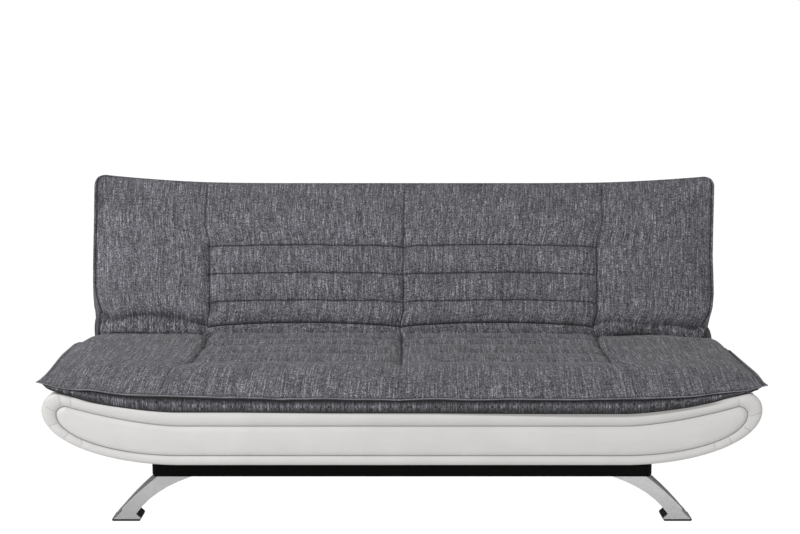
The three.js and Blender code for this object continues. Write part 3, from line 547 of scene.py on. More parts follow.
def leg_material():
    """Cast legs: a satin front plate, painted darker towards the foot as shade, beside it a painted dark strip that
    stands for the web's outer side in shade, parted from the plate by a painted shadow line, and duller grey edges
    with a sand-cast grain."""
    n = Nodes("leg_metal")
    place = n.add("ShaderNodeTexCoord")
    facing = n.add("ShaderNodeSeparateXYZ")
    n.link(place.outputs["Normal"], facing.inputs[0])
    front = n.math("GREATER_THAN", n.math("ABSOLUTE", facing.outputs["Y"], 0), 0.9)
    marks = n.noise(n.mapped(place.outputs["Object"], (60, 60, 260)), 1.0, 3.0, 0.6)
    grain = n.noise(place.outputs["Object"], 700.0, 2.0)
    axes = n.add("ShaderNodeSeparateXYZ")
    n.link(place.outputs["Object"], axes.inputs[0])
    rise = LEG_HIGH.z - LEG_LOW.z
    up = n.math("DIVIDE", n.math("SUBTRACT", axes.outputs["Z"], LEG_LOW.z), rise)
    edge_at = n.curve(up, [((z - LEG_LOW.z) / rise, x) for z, x in leg_outer_edge()])
    inward = n.math("SUBTRACT", edge_at, n.math("ABSOLUTE", axes.outputs["X"], 0))
    width = n.curve(up, LEG_PAINTED_WEB_WIDTHS)
    # Painted shade: a dark strip along the plate's outer edge for the web's side, and a dark shadow line at its inner
    # border
    web_painted_shade = n.math("LESS_THAN", inward, width)
    groove = n.math("MULTIPLY", web_painted_shade, n.math("GREATER_THAN", inward, n.math("SUBTRACT", width, LEG_GROOVE_SHADOW)))
    face = n.ramp(marks, ((0.3, (0.40, 0.40, 0.40)), (0.7, (0.45, 0.45, 0.45))))
    # Painted shade: the plate darker towards the foot
    shade = n.ramp(up, ((0.0, (0.80,) * 3), (0.8, (1.04,) * 3)))
    side = n.ramp(grain, ((0.3, (0.13, 0.13, 0.13)), (0.7, (0.17, 0.17, 0.17))))
    edge = n.ramp(grain, ((0.3, (0.15, 0.15, 0.15)), (0.7, (0.20, 0.20, 0.20))))
    plate = n.mix(web_painted_shade, n.mix(1.0, face, shade, "MULTIPLY"), side)
    plate = n.mix(n.math("MULTIPLY", groove, 0.75), plate, (0.02, 0.02, 0.02))
    n.link(n.mix(front, edge, plate), n.shader.inputs["Base Color"])
    polish = n.ramp(marks, ((0.2, (0.36,) * 3), (0.8, (0.44,) * 3)))
    n.link(n.mix(front, (0.7,) * 3, polish), n.shader.inputs["Roughness"])
    n.link(n.bump(grain, 0.15, 0.0003), n.shader.inputs["Normal"])
    n.link(n.math("MULTIPLY", front, 0.85), n.shader.inputs["Metallic"])
    n.shader.inputs["Specular IOR Level"].default_value = 0.25
    return n.material


def metal_material(name, colour, roughness, brushing, metallic=1.0):
    """Metal with fine brush marks and light wear."""
    n = Nodes(name)
    place = n.position()
    marks = n.noise(n.mapped(place, brushing), 1.0, 4.0, 0.6)
    low = tuple(c * 0.86 for c in colour)
    n.link(n.ramp(marks, ((0.3, low), (0.7, colour))), n.shader.inputs["Base Color"])
    rough = n.ramp(marks, ((0.2, (roughness * 0.85,) * 3), (0.8, (roughness * 1.2,) * 3)))
    n.link(rough, n.shader.inputs["Roughness"])
    n.link(n.bump(marks, 0.08, 0.0004), n.shader.inputs["Normal"])
    n.shader.inputs["Metallic"].default_value = metallic
    return n.material


def grained_material(name, low, high, scale, roughness, bump, stretch=(1, 1, 1)):
    """Matt surface with mottled colour and a fine grain, such as plastic, paint, board or foam."""
    n = Nodes(name)
    place = n.mapped(n.position(), stretch)
    mottle = n.noise(place, scale, 4.0, 0.6)
    n.link(n.ramp(mottle, ((0.3, low), (0.7, high))), n.shader.inputs["Base Color"])
    grain = n.noise(place, scale * 9, 2.0)
    n.link(n.bump(grain, bump, 0.0006), n.shader.inputs["Normal"])
    n.shader.inputs["Roughness"].default_value = roughness
    n.shader.inputs["Specular IOR Level"].default_value = 0.07
    return n.material


FABRIC = fabric_material()
LEATHER = leather_material("white_leather")
PLYWOOD = grained_material("plywood", (0.42, 0.29, 0.15), (0.60, 0.44, 0.25), 6, 0.6, 0.2, (1, 14, 14))
BLACK_BOARD = grained_material("black_board", (0.006, 0.006, 0.007), (0.016, 0.016, 0.017), 90, 0.9, 0.5)
FOAM = grained_material("seat_foam", (0.62, 0.55, 0.40), (0.78, 0.72, 0.56), 160, 0.95, 0.6)
BLACK_STEEL = grained_material("black_steel", (0.0015, 0.0015, 0.0015), (0.003, 0.003, 0.0025), 240, 0.75, 0.12)
BLACK_PLASTIC = grained_material("black_plastic", (0.003, 0.003, 0.003), (0.006, 0.006, 0.006), 300, 0.6, 0.25)
LEG_METAL = leg_material()
ZINC = metal_material("zinc_steel", (0.52, 0.53, 0.55), 0.36, (90, 300, 90))
SLOT_MATERIALS = {
    "white_leather": LEATHER,
    "plywood": PLYWOOD,
    "black_board": BLACK_BOARD,
    "seat_foam": FOAM,
    "black_steel": BLACK_STEEL,
    "black_plastic": BLACK_PLASTIC,
    "leg_metal": LEG_METAL,
    "zinc_steel": ZINC,
    "grey_fabric": FABRIC,
}


# Mattress


def top_line(x, shell_end=SHELL_END):
    """Height of a shell's top, which the mattress lies on."""
    share = np.clip((np.abs(x) - LEVEL_HALF) / (shell_end - TIP_RUN - LEVEL_HALF), 0, 1)
    return SHELL_TOP + (TIP_TOP - SHELL_TOP) * share**RISE_POWER


def rim_height(x):
    """Height of the seam round the pad, which lifts towards its corners."""
    share = (top_line(x) - SHELL_TOP) / (TIP_TOP - SHELL_TOP)
    shoulder = SHELL_END - TIP_RUN
    corner = np.clip((np.abs(x) - shoulder) / (PAD_HALF - shoulder), 0, 1)
    return SHELL_TOP + 0.032 + 0.034 * share + 0.018 * corner


def full_height(depth):
    return SHELL_TOP + 0.080 + 0.040 * np.asarray(depth) / 0.520


def crown(distance, reach):
    return 1 - (1 - np.clip(distance / reach, 0, 1)) ** 2.4


def dent(distance, width):
    """A sewn channel's section: a sharp line with a rounded pad on each side."""
    return (1 - np.clip(np.abs(distance) / width, 0, 1)) ** 2


def arch(share):
    return np.sin(np.pi * np.clip(share, 0, 1)) ** 0.8


class Half:
    """Shape of one half of the mattress: where its seams and its sides run."""

    def __init__(
        self,
        shell_end,
        seam,
        side,
        end_crowns,
        lip_rise,
        side_rise,
        side_groove,
        cross_seams,
        cross_drop,
        cross_sewn,
        lengthwise_drops,
        free_flange,
        line_breaks,
    ):
        self.shell_end = shell_end
        self.end_crowns = end_crowns
        self.lip_rise = lip_rise
        self.side_rise, self.side_groove = side_rise, side_groove
        self.line_breaks = line_breaks
        self.cross_sewn = cross_sewn
        self.seam_line, self.side_line = np.array(seam).T, np.array(side).T
        self.cross_seams, self.cross_drop = cross_seams, cross_drop
        self.lengthwise_drops = lengthwise_drops
        self.free_flange = free_flange

    def seam(self, depth):
        return np.interp(depth, *self.seam_line)

    def side(self, depth):
        return np.interp(depth, *self.side_line)

    def across(self, u, depth):
        """x of column u at a depth, so that the columns follow the seams."""
        seam, side = self.seam(depth), self.side(depth)
        outer = seam + (np.abs(u) - PANEL_SEAM) * (side - seam) / (PAD_HALF - PANEL_SEAM)
        return np.sign(u) * np.where(np.abs(u) < PANEL_SEAM, np.abs(u) * seam / PANEL_SEAM, outer)

    def rim(self, x, depth):
        """Height of the seam round the pad at a place near its edge."""
        near_side = smooth((np.abs(x) - 0.80) / 0.12)
        lip = self.lip_rise * np.interp(x, *np.array(LIP_RISE).T) * (1 - smooth(np.asarray(depth) / 0.12))
        start, left, right = self.side_rise
        rise = np.where(x < 0, left, right) * smooth((depth - start) / 0.26)
        return rim_height(x) + rise * near_side + lip

    def top(self, u, depth):
        """x, height and closeness to a sewn line of the quilted top, with the distance to the nearest seam."""
        x = self.across(u, depth)
        seam = self.seam(depth)
        edge_front = np.asarray(depth, float) + 0 * x
        edge_side = self.side(depth) - np.abs(x)
        rim = self.rim(x, depth)
        front = crown(edge_front - self.free_flange, FRONT_CROWN)
        end_reach = np.interp(depth, *np.array(self.end_crowns).T)
        raised = front * crown(edge_side - FLANGE, end_reach)
        height = rim + FLANGE_HALF_THICKNESS + (full_height(depth) - rim) * raised
        outer_seam = np.abs(np.abs(x) - seam)
        lengthwise = np.minimum(outer_seam, np.abs(x))
        quilted = smooth((edge_front - self.cross_seams[0] + 0.030) / 0.045)
        front_drop, quilt_drop = self.lengthwise_drops
        shallow = front_drop * dent(lengthwise, 0.060) * smooth((edge_front - 0.012) / 0.10)
        drop = shallow + (quilt_drop - front_drop) * dent(lengthwise, 0.026) * quilted
        line_front = smooth((edge_front - self.free_flange) / 0.02)
        broken = np.clip(0.85 + 0.7 * soft_noise(x, edge_front, 0.9, 0.017, 31), 0.45, 1)
        broken = 1 - self.line_breaks * (1 - broken)
        sewn = np.exp(-((lengthwise / 0.0024) ** 2)) * line_front * (0.75 + 0.25 * quilted) * broken
        inside = smooth((seam - np.abs(x)) / 0.02 + 0.5)
        panel = np.abs(x) / seam
        sag = 0.004 * (1 - arch(panel))
        nearest = lengthwise
        for place in self.cross_seams:
            distance = depth - place - sag - 0.0016 * soft_noise(u, place + 0 * u, 0.045, 1, 21)
            drop = drop + self.cross_drop * dent(distance, 0.043) * inside
            sewn = np.maximum(sewn, self.cross_sewn * np.exp(-((distance / 0.0022) ** 2)) * inside)
            nearest = np.where(inside > 0.5, np.minimum(nearest, np.abs(distance)), nearest)
        edge = np.minimum(edge_front + FLANGE - self.free_flange, edge_side)
        groove = np.exp(-(((edge - FLANGE) / 0.0024) ** 2))
        beside = np.where(x < 0, *self.side_groove)
        groove = groove * np.where(edge_side < edge_front, beside, self.free_flange / FLANGE)
        bulge = 0.004 * arch(panel) * inside * smooth(edge_front / 0.15)
        outside = np.clip((np.abs(x) - seam) / (self.side(depth) - seam), 0, 1)
        bulge = bulge + 0.004 * arch(outside) * smooth(edge_front / 0.15)
        height = height - drop * smooth((edge - 0.010) / 0.03) + bulge - 0.0018 * groove
        return x, height, np.maximum(sewn, groove), nearest


SEAT = Half(
    SHELL_END,
    seam=(
        (0, 0.642),
        (0.140, 0.636),
        (0.175, 0.622),
        (0.206, 0.594),
        (0.300, 0.588),
        (0.400, 0.582),
        (CREASE_DEPTH, 0.591),
    ),
    side=(
        (0, PAD_HALF),
        (0.030, PAD_HALF - 0.004),
        (0.500, PAD_HALF - 0.004),
        (0.530, PAD_HALF - 0.022),
        (CREASE_DEPTH, PAD_HALF - 0.054),
    ),
    end_crowns=((0, 0.125), (0.03, 0.110), (0.12, 0.058), (CREASE_DEPTH, 0.058)),
    lip_rise=1,
    side_rise=(0.06, 0.017, -0.001),
    side_groove=(0.35, 1),
    cross_seams=SEAT_CROSS_SEAMS,
    cross_drop=0.005,
    cross_sewn=0.25,
    lengthwise_drops=(0.005, 0.014),
    free_flange=FLANGE,
    line_breaks=1.0,
)
BACK = Half(
    BACK_SHELL_END,
    seam=((0, 0.621), (0.150, 0.616), (0.206, 0.599), (VALLEY_DEPTH, 0.588)),
    side=(
        (0, PAD_HALF - 0.0095),
        (0.255, PAD_HALF - 0.024),
        (0.370, PAD_HALF - 0.029),
        (0.410, PAD_HALF - 0.034),
        (0.440, PAD_HALF - 0.042),
        (VALLEY_DEPTH, PAD_HALF - 0.053),
    ),
    end_crowns=((0, 0.125), (0.15, 0.125), (0.325, 0.102), (0.50, 0.080)),
    lip_rise=0,
    side_rise=(0.14, 0.012, 0.012),
    side_groove=(1, 1),
    cross_seams=BACK_CROSS_SEAMS,
    cross_drop=0.017,
    cross_sewn=1.0,
    lengthwise_drops=(0.009, 0.014),
    free_flange=0.002,
    line_breaks=0.4,
)


def wrinkles(u, v, seam_distance):
    """Soft undulation of the cloth, with small folds that run out from the sewn lines."""
    broad = 0.0018 * soft_noise(u, v, 0.11, 0.10, 1) + 0.0009 * soft_noise(u, v, 0.045, 0.05, 2)
    near = np.exp(-seam_distance / 0.028)
    folds = 0.0016 * soft_noise(u, v, 0.017, 0.05, 3) + 0.0012 * soft_noise(u, v, 0.05, 0.014, 4)
    return broad + folds * near


def valley_place(u):
    """Depth of the deep fold low on the backrest, arched between the lengthwise seams."""
    inner = np.abs(u) / PANEL_SEAM
    outer = (np.abs(u) - PANEL_SEAM) / (PAD_HALF - PANEL_SEAM)
    centre = 0.477 - 0.013 * arch(inner)
    near = outer[..., None] + np.linspace(-0.07, 0.07, 7)
    left = np.interp(near, *np.array(VALLEY_LEFT).T).mean(-1)
    right = np.interp(near, *np.array(VALLEY_RIGHT).T).mean(-1)
    return np.where(inner < 1, centre, np.where(u < 0, left, right))


def pulled_corner(x, depth, side):
    """Rounds a free corner of the backrest and draws it out beyond the edge between the corners."""
    a = np.clip((np.abs(x) - (side - CORNER_RADIUS)) / CORNER_RADIUS, 0, 1)
    b = np.clip((CORNER_RADIUS - depth) / CORNER_RADIUS, 0, 1)
    inside = (a > 0) & (b > 0)
    moved_a = a * np.sqrt(1 - b * b / 2)
    moved_b = b * np.sqrt(1 - a * a / 2)
    new_x = np.sign(x) * (side - CORNER_RADIUS + CORNER_RADIUS * moved_a)
    new_depth = CORNER_RADIUS - CORNER_RADIUS * moved_b
    pull = np.where(x < 0, CORNER_PULL_LEFT, CORNER_PULL_RIGHT)
    pull = pull * (np.clip((np.abs(x) - 0.38) / 0.56, 0, 1) ** 2) * (1 - smooth(depth / 0.25))
    new_x = np.where(inside, new_x, x) + np.interp(depth, *np.array(BACK_SIDE_SHIFT).T)
    return new_x, np.where(inside, new_depth, depth) - pull


def underside(half, u, depth, reach):
    """Points of the pad's side band and of its underside, which lies on the deck."""
    front, side = np.asarray(depth, float), PAD_HALF - np.abs(u)
    last = BAND_AT[-1]
    in_front = np.interp(front, BAND_AT, BAND_FRONT_INSETS)
    deep = BAND_FRONT_INSETS[-1] + (front - last) * (reach[1] - BAND_FRONT_INSETS[-1]) / (reach[0] - last)
    new_depth = np.where(front < last, in_front, deep)
    edge_x = half.side(np.maximum(depth, new_depth))
    inset = np.interp(side, BAND_AT, BAND_SIDE_INSETS)
    inner = (edge_x - BAND_SIDE_INSETS[-1]) * np.abs(u) / (PAD_HALF - last)
    x = np.sign(u) * np.where(side < last, edge_x - inset, inner)
    drop = np.interp(np.minimum(front, side), BAND_AT, BAND_DROP_SHARES)
    corner = np.interp(side, *np.array(BAND_CORNER).T)
    drop = drop * (1 - (1 - corner) * (1 - smooth(front / 0.09)))
    lies_on = top_line(x, half.shell_end) + 0.0006
    base = half.rim(np.sign(u) * (edge_x - BAND_SIDE_INSETS[1]), depth)
    base = np.where(front < side, half.rim(x, depth), base)
    hang = np.interp(x, *np.array(BAND_HANG).T) * np.maximum(drop - 1, 0)
    return x, new_depth, lies_on + (base - lies_on) * (1 - np.minimum(drop, 1)) - hang


def mattress_rows():
    """Rows from the seat's front edge over the crease to the backrest's top edge.
    Each is (half, depth or None, share of the fold strip)."""
    near_rim = [r for r in RIM_STEPS if r > 0]
    seat_depths = stations(near_rim[-1], CREASE_DEPTH, 0.009, SEAT_CROSS_SEAMS)
    seat = [(SEAT, d, 0.0) for d in (0, *near_rim[:-1], *seat_depths)]
    strip = [(BACK, None, s) for s in (0.9, 0.78, 0.64, 0.5, 0.36, 0.24, 0.14, 0.06)]
    back_depths = stations(near_rim[-1], VALLEY_DEPTH, 0.009, (*BACK_CROSS_SEAMS, VALLEY_DEPTH))
    back = [(BACK, d, 0.0) for d in (*back_depths[::-1], *near_rim[:-1][::-1], 0)]
    return seat, strip, back


def mattress():
    near_rim = [PAD_HALF - r for r in RIM_STEPS]
    inner = stations(-near_rim[-1], near_rim[-1], 0.009, (-PANEL_SEAM, 0, PANEL_SEAM))
    u = np.array([*[-n for n in near_rim[:-1]], *inner, *near_rim[:-1][::-1]])
    seat, strip, back = mattress_rows()
    top, low, cloth, sewn = [], [], [], []

    # Seat half, whose last row is the crease
    for half, depth, _ in seat:
        x, height, line, nearest = half.top(u, depth)
        roll = np.clip((depth - (CREASE_DEPTH - 0.035)) / 0.035, 0, 1) ** 2.0
        inner_panel = smooth((half.seam(depth) - np.abs(x)) / 0.06 + 0.5)
        crease_drop = CREASE_DROP_OUTSIDE + (CREASE_DROP_INSIDE - CREASE_DROP_OUTSIDE) * inner_panel
        crease_drop = crease_drop - CREASE_END_RISE * smooth((-u - 0.84) / 0.10)
        outer = (u - PANEL_SEAM) / (PAD_HALF - PANEL_SEAM)
        lower = 0.008 * smooth(outer / 0.15) + 0.012 * smooth((outer - 0.45) / 0.45)
        crease_drop = crease_drop + 0.5 * lower
        height = height - roll * crease_drop + 0.003 * roll * soft_noise(u, 0 * u, 0.07, 1, 13)
        height = height - (0.008 - 0.003 * inner_panel + 0.6 * lower) * smooth((depth - 0.43) / 0.09)
        edge = np.minimum(depth, half.side(depth) - np.abs(x))
        height = height + wrinkles(u, depth + 0 * u, nearest) * smooth((edge - 0.012) / 0.03)
        wave = 0.0022 * soft_noise(u, 0 * u, 0.10, 1, 11) + 0.0012 * soft_noise(u, 0 * u, 0.035, 1, 12)
        height = height + wave * (1 - smooth(depth / 0.05))
        forward = CREASE_FORWARD * inner_panel * smooth((depth - 0.40) / (CREASE_DEPTH - 0.40))
        drift = -SEAM_DRIFT * (1 - smooth(depth / 0.26)) * smooth((0.95 - np.abs(u)) / 0.25)
        top.append(seat_place(x + drift, depth - forward, height))
        low_x, low_depth, low_height = underside(half, u, depth, (CREASE_DEPTH, UNDERSIDE_END))
        low_height = low_height + wave * (1 - smooth(depth / 0.012))
        low.append(seat_place(low_x + drift, low_depth, low_height))
        sewn.append(line)
    crease = top[-1]
    crease_depth, crease_height = back_local(crease[:, 1], crease[:, 2])

    # Backrest half, from the deep fold up to the free edge
    back_top, back_low, back_seams_and_shade = [], [], []
    for half, depth, _ in back:
        x, height, line, nearest = half.top(u, depth)
        inner_panel = smooth((half.seam(depth) - np.abs(x)) / 0.06 + 0.5)
        shift_run = 0.200 - 0.128 * inner_panel
        shift = (valley_place(u) - VALLEY_DEPTH) * smooth((depth - VALLEY_DEPTH + shift_run) / shift_run)
        narrow = 1 - inner_panel
        valley = (VALLEY_DROP - 0.003 * narrow) * dent(depth - VALLEY_DEPTH, 0.045 - 0.010 * narrow)
        edge = np.minimum(depth, half.side(depth) - np.abs(x))
        height = height - valley * smooth((edge - 0.004) / 0.03)
        height = height + wrinkles(u, depth + 2.0 + 0 * u, nearest) * smooth((edge - 0.012) / 0.03)
        x, moved = pulled_corner(x, depth + shift, half.side(depth))
        back_top.append((x, moved, height))
        low_x, low_depth, low_height = underside(half, u, depth, (0.504, UNDERSIDE_END))
        low_x, low_depth = pulled_corner(low_x, low_depth, half.side(depth))
        back_low.append(back_place(low_x, low_depth, low_height))
        # Painted shadow along the deep fold: full across the inner panels, fainter and wider on the outer panels; it
        # joins the sewn lines in the seam attribute
        reach = 0.006 + 0.006 * narrow
        faint = (0.45 + 0.30 * smooth(u / 0.1) * (1 - smooth((u - 0.80) / 0.05))) * narrow
        fold_painted_shadow = np.exp(-(((depth - VALLEY_DEPTH) / reach) ** 2)) * (1 - faint)
        back_seams_and_shade.append(np.maximum(line, fold_painted_shadow))

    # Strip of cloth between the crease and the deep fold
    valley_x, valley_depth, valley_height = back_top[0]
    last_low = back_low[0]
    outside = smooth((np.abs(u) - PANEL_SEAM - 0.02) / 0.05)
    for _, _, share in strip:
        along = share
        x = valley_x + (crease[:, 0] - valley_x) * along
        end_bulge = np.where(u < 0, -0.016, 0.023) * smooth((np.abs(u) - 0.90) / 0.07)
        end_bulge = end_bulge * np.sin(np.pi * along**0.8) ** 0.6
        x = x + end_bulge
        depth = valley_depth + (crease_depth - valley_depth) * along
        height = valley_height + (crease_height - valley_height) * along
        run, rise = crease_depth - valley_depth, crease_height - valley_height
        length = np.hypot(run, rise)
        bulge_outside = np.sin(np.pi * along**1.35) ** 0.7
        bulge_inside = 0.6 * np.sin(np.pi * along**0.65) ** 0.7 * (1 - along) ** 0.5
        bulge = STRIP_BULGE * (bulge_inside + (bulge_outside - bulge_inside) * outside)
        bulge = bulge * smooth((PAD_HALF - 0.004 - np.abs(u)) / 0.03)
        depth = depth + bulge * -rise / length
        height = height + bulge * run / length
        top.append(back_place(x, depth, height))
        crease_low = low[len(seat) - 1]
        between = last_low + (crease_low - last_low) * along
        between[:, 0] += 0.45 * end_bulge
        low.append(between)
        # Painted shade on the strip's outer panels: on the left dark near the crease and near the deep fold, on the
        # right darkening towards the crease and dropping away at the right end
        left = max(0.95 * smooth((share - 0.60) / 0.16), 0.40 * smooth(1 - share / 0.3))
        right = max(0.90 * smooth(share / 0.62), 0.15) * (1 - smooth((u - 0.80) / 0.05))
        sewn.append(np.where(u < 0, left, right) * outside)
    for (x, depth, height), under, line in zip(back_top, back_low, back_seams_and_shade):
        top.append(back_place(x, depth, height))
        low.append(under)
        sewn.append(line)

    top, low, sewn = np.array(top), np.array(low), np.array(sewn)
    v_edge = np.array([0.5 if depth is None else depth for _, depth, _ in (*seat, *strip, *back)])
    steps = np.linalg.norm(np.diff(top[:, len(u) // 2 + 20], axis=0), axis=1)
    lengths = np.where(np.arange(len(steps)) < len(seat), SEAT_PATTERN, 1.0)
    run = np.concatenate([[0], np.cumsum(steps * lengths)])
    v = np.repeat(run[:, None], len(u), 1)
    across = np.repeat(u[None, :], len(run), 0)
    cloth = np.stack([across, v, 0 * v], -1)
    rows, columns = sewn.shape
    count = rows * columns
    ring = np.concatenate(
        [
            np.arange(columns),
            np.arange(1, rows) * columns + columns - 1,
            (rows - 1) * columns + np.arange(columns - 2, -1, -1),
            np.arange(rows - 2, 0, -1) * columns,
        ]
    )
    after = np.roll(ring, -1)
    rim = np.stack([ring, ring + count, after + count, after], 1)
    faces = np.concatenate([grid_faces(rows, columns), grid_faces(rows, columns, count)[:, ::-1], rim])
    points = np.concatenate([top.reshape(-1, 3), low.reshape(-1, 3)])
    piece = mesh_object("mattress", points, faces, FABRIC)
    low_cloth = cloth + np.array([0, 3.0, 0])
    from_end, from_side = v_edge[:, None] + 0 * across, PAD_HALF - np.abs(across)
    near_rim = np.minimum(from_end, from_side)
    on_seat = (np.arange(len(run)) < len(seat))[:, None]
    closeness = (1 - np.clip(near_rim / STITCH_REACH, 0, 1)) * on_seat
    stitch = np.stack([closeness, np.where(from_end < from_side, across, v), 0 * v], -1)
    # Painted shade on the side band: dark under the lip and in the gap down to the shell; the seam attribute holds it
    # with the top's sewn lines and painted fold shade
    underside_painted_shade = np.interp(near_rim, BAND_AT, BAND_PAINTED_SHADE)
    add_attribute(piece, "cloth", "FLOAT_VECTOR", np.concatenate([cloth, low_cloth]).reshape(-1, 3))
    add_attribute(piece, "seam", "FLOAT", np.concatenate([sewn.ravel(), underside_painted_shade.ravel()]))
    add_attribute(piece, "stitch", "FLOAT_VECTOR", np.concatenate([stitch, 0 * stitch]).reshape(-1, 3))
    face_outwards(piece)
    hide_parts("seat_mattress", "back_mattress")
    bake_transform(piece)
    return piece


# Padded shells


def shell_outline(shell_end, share, angles):
    """The right half of a shell's outline, inset towards the seam by a share, from the middle of its
    bottom round the tip to the middle of its top. angles is (bottom, tip, rise) parameters."""

    def between(outer, seam):
        return outer + (seam - outer) * share

    bottom_angles, tip_angles, rise_shares = angles
    end = between(shell_end, shell_end - SEAM_END_INSET)
    shoulder = between(shell_end - TIP_RUN, shell_end - SEAM_END_INSET - SEAM_TIP_RUN)
    bottom = between(SHELL_BOTTOM, SHELL_BOTTOM + SEAM_BOTTOM_RISE)
    top = between(SHELL_TOP, SHELL_TOP - SEAM_TOP_DROP)
    centre = between(TIP_CENTRE, TIP_CENTRE - SEAM_TIP_CENTRE_DROP)
    tip = between(TIP_TOP, TIP_TOP - SEAM_TIP_TOP_DROP)
    level = np.linspace(0, LEVEL_HALF, 20)[:-1]
    x = np.concatenate(
        [
            level,
            LEVEL_HALF + (end - LEVEL_HALF) * np.sin(bottom_angles),
            shoulder + (end - shoulder) * np.cos(tip_angles),
            LEVEL_HALF + (shoulder - LEVEL_HALF) * rise_shares,
            level[::-1],
        ]
    )
    z = np.concatenate(
        [
            np.full(len(level), bottom),
            centre - (centre - bottom) * np.cos(bottom_angles),
            centre + (tip - centre) * np.sin(tip_angles),
            top + (tip - top) * rise_shares**RISE_POWER,
            np.full(len(level), top),
        ]
    )
    return np.stack([x, z], 1)


OUTLINE_ANGLES = (
    np.radians(np.concatenate([np.linspace(0, 38, 24), np.linspace(38, 90, 96)[1:]])),
    np.radians(np.linspace(0, 90, 34)[1:]),
    np.concatenate([np.linspace(1, 0.84, 24)[1:], np.linspace(0.84, 0, 30)[1:]]),
)


def full_loop(half):
    left = half[1:-1][::-1] * np.array([-1, 1])
    return np.concatenate([half, left])


def distance_to_segment(points, a, b):
    a, b = np.array(a), np.array(b)
    t = np.clip(((points - a) @ (b - a)) / ((b - a) @ (b - a)), 0, 1)
    return np.linalg.norm(points - (a + t[..., None] * (b - a)), axis=-1)


def dart_distance(x, z, shell_end):
    points = np.stack([x + np.sign(x) * (SHELL_END - shell_end), z], -1)
    return np.min([distance_to_segment(points, a, b) for a, b in DARTS], axis=0)


def border_roll(name, place, shell_end):
    """The padded roll round the panel: a ring of rounded section with dart seams at its tips."""
    steps = 26
    rings, lines = [], []
    for k in range(steps + 1):
        angle = math.pi * k / steps
        share = (1 + math.cos(angle)) / 2
        round_off = max(0.0, math.sin(angle))
        depth = GROOVE_DEPTH * (1 - round_off**0.92)
        loop = full_loop(shell_outline(shell_end, share, OUTLINE_ANGLES))
        away = dart_distance(loop[:, 0], loop[:, 1], shell_end)
        pinch = 0.0014 * dent(away, 0.0030) + 0.0012 * np.exp(-((away / 0.013) ** 2))
        depths = depth + pinch * round_off**0.5
        rings.append(np.stack([loop[:, 0], depths, loop[:, 1]], 1))
        seam_line = math.exp(-((min(k, 3) / 1.2) ** 2))
        # Painted shade on the roll's upper part, darker down towards its inner seam, and a painted shadow where the
        # mattress's band hangs over its top, kept away from the tips
        upper = smooth((loop[:, 1] - TIP_CENTRE + 0.06) / 0.03)
        covered = smooth((shell_end - 0.09 - np.abs(loop[:, 0])) / 0.06)
        start = 17.9 + 100 * (0.038 - np.interp(loop[:, 0], *np.array(BAND_HANG).T))
        overhang_painted_shadow = 0.85 * smooth((k - start) / 2.0) * covered
        soft = (0.27 * max(0.0, 1 - k / 17) ** 1.2 + overhang_painted_shadow) * upper
        lines.append(np.maximum(0.5 * np.exp(-((away / 0.0012) ** 2)), np.maximum(seam_line, soft)))
    outer = full_loop(shell_outline(shell_end, 0, OUTLINE_ANGLES))
    for depth in (0.014, 0.018, PANEL_DEPTH - 0.001, PANEL_DEPTH):
        inset = 0.0015 if depth == PANEL_DEPTH else 0
        loop = full_loop(shell_outline(shell_end, inset / SEAM_BOTTOM_RISE, OUTLINE_ANGLES))
        rings.append(np.stack([loop[:, 0], np.full(len(outer), depth), loop[:, 1]], 1))
        lines.append(np.full(len(outer), 0.6 if depth == PANEL_DEPTH else 0.0))
    inner = full_loop(shell_outline(shell_end, 0.9, OUTLINE_ANGLES))
    for depth, loop in ((PANEL_DEPTH, inner), (GROOVE_DEPTH + 0.006, inner)):
        rings.append(np.stack([loop[:, 0], np.full(len(loop), depth), loop[:, 1]], 1))
        lines.append(np.zeros(len(loop)))
    rings.append(rings[0])
    lines.append(lines[0])
    rings, lines = rings[:-1], lines[:-1]
    count, size = len(rings), len(rings[0])
    index = np.arange(count * size).reshape(count, size)
    a, b = index, np.roll(index, -1, axis=1)
    c, d = np.roll(b, -1, axis=0), np.roll(a, -1, axis=0)
    faces = np.stack([a.ravel(), b.ravel(), c.ravel(), d.ravel()], 1)
    local = np.concatenate(rings)
    piece = mesh_object(name, place(local[:, 0], local[:, 1], local[:, 2]), faces, LEATHER)
    add_attribute(piece, "seam", "FLOAT", np.concatenate(lines))
    face_outwards(piece)
    return piece


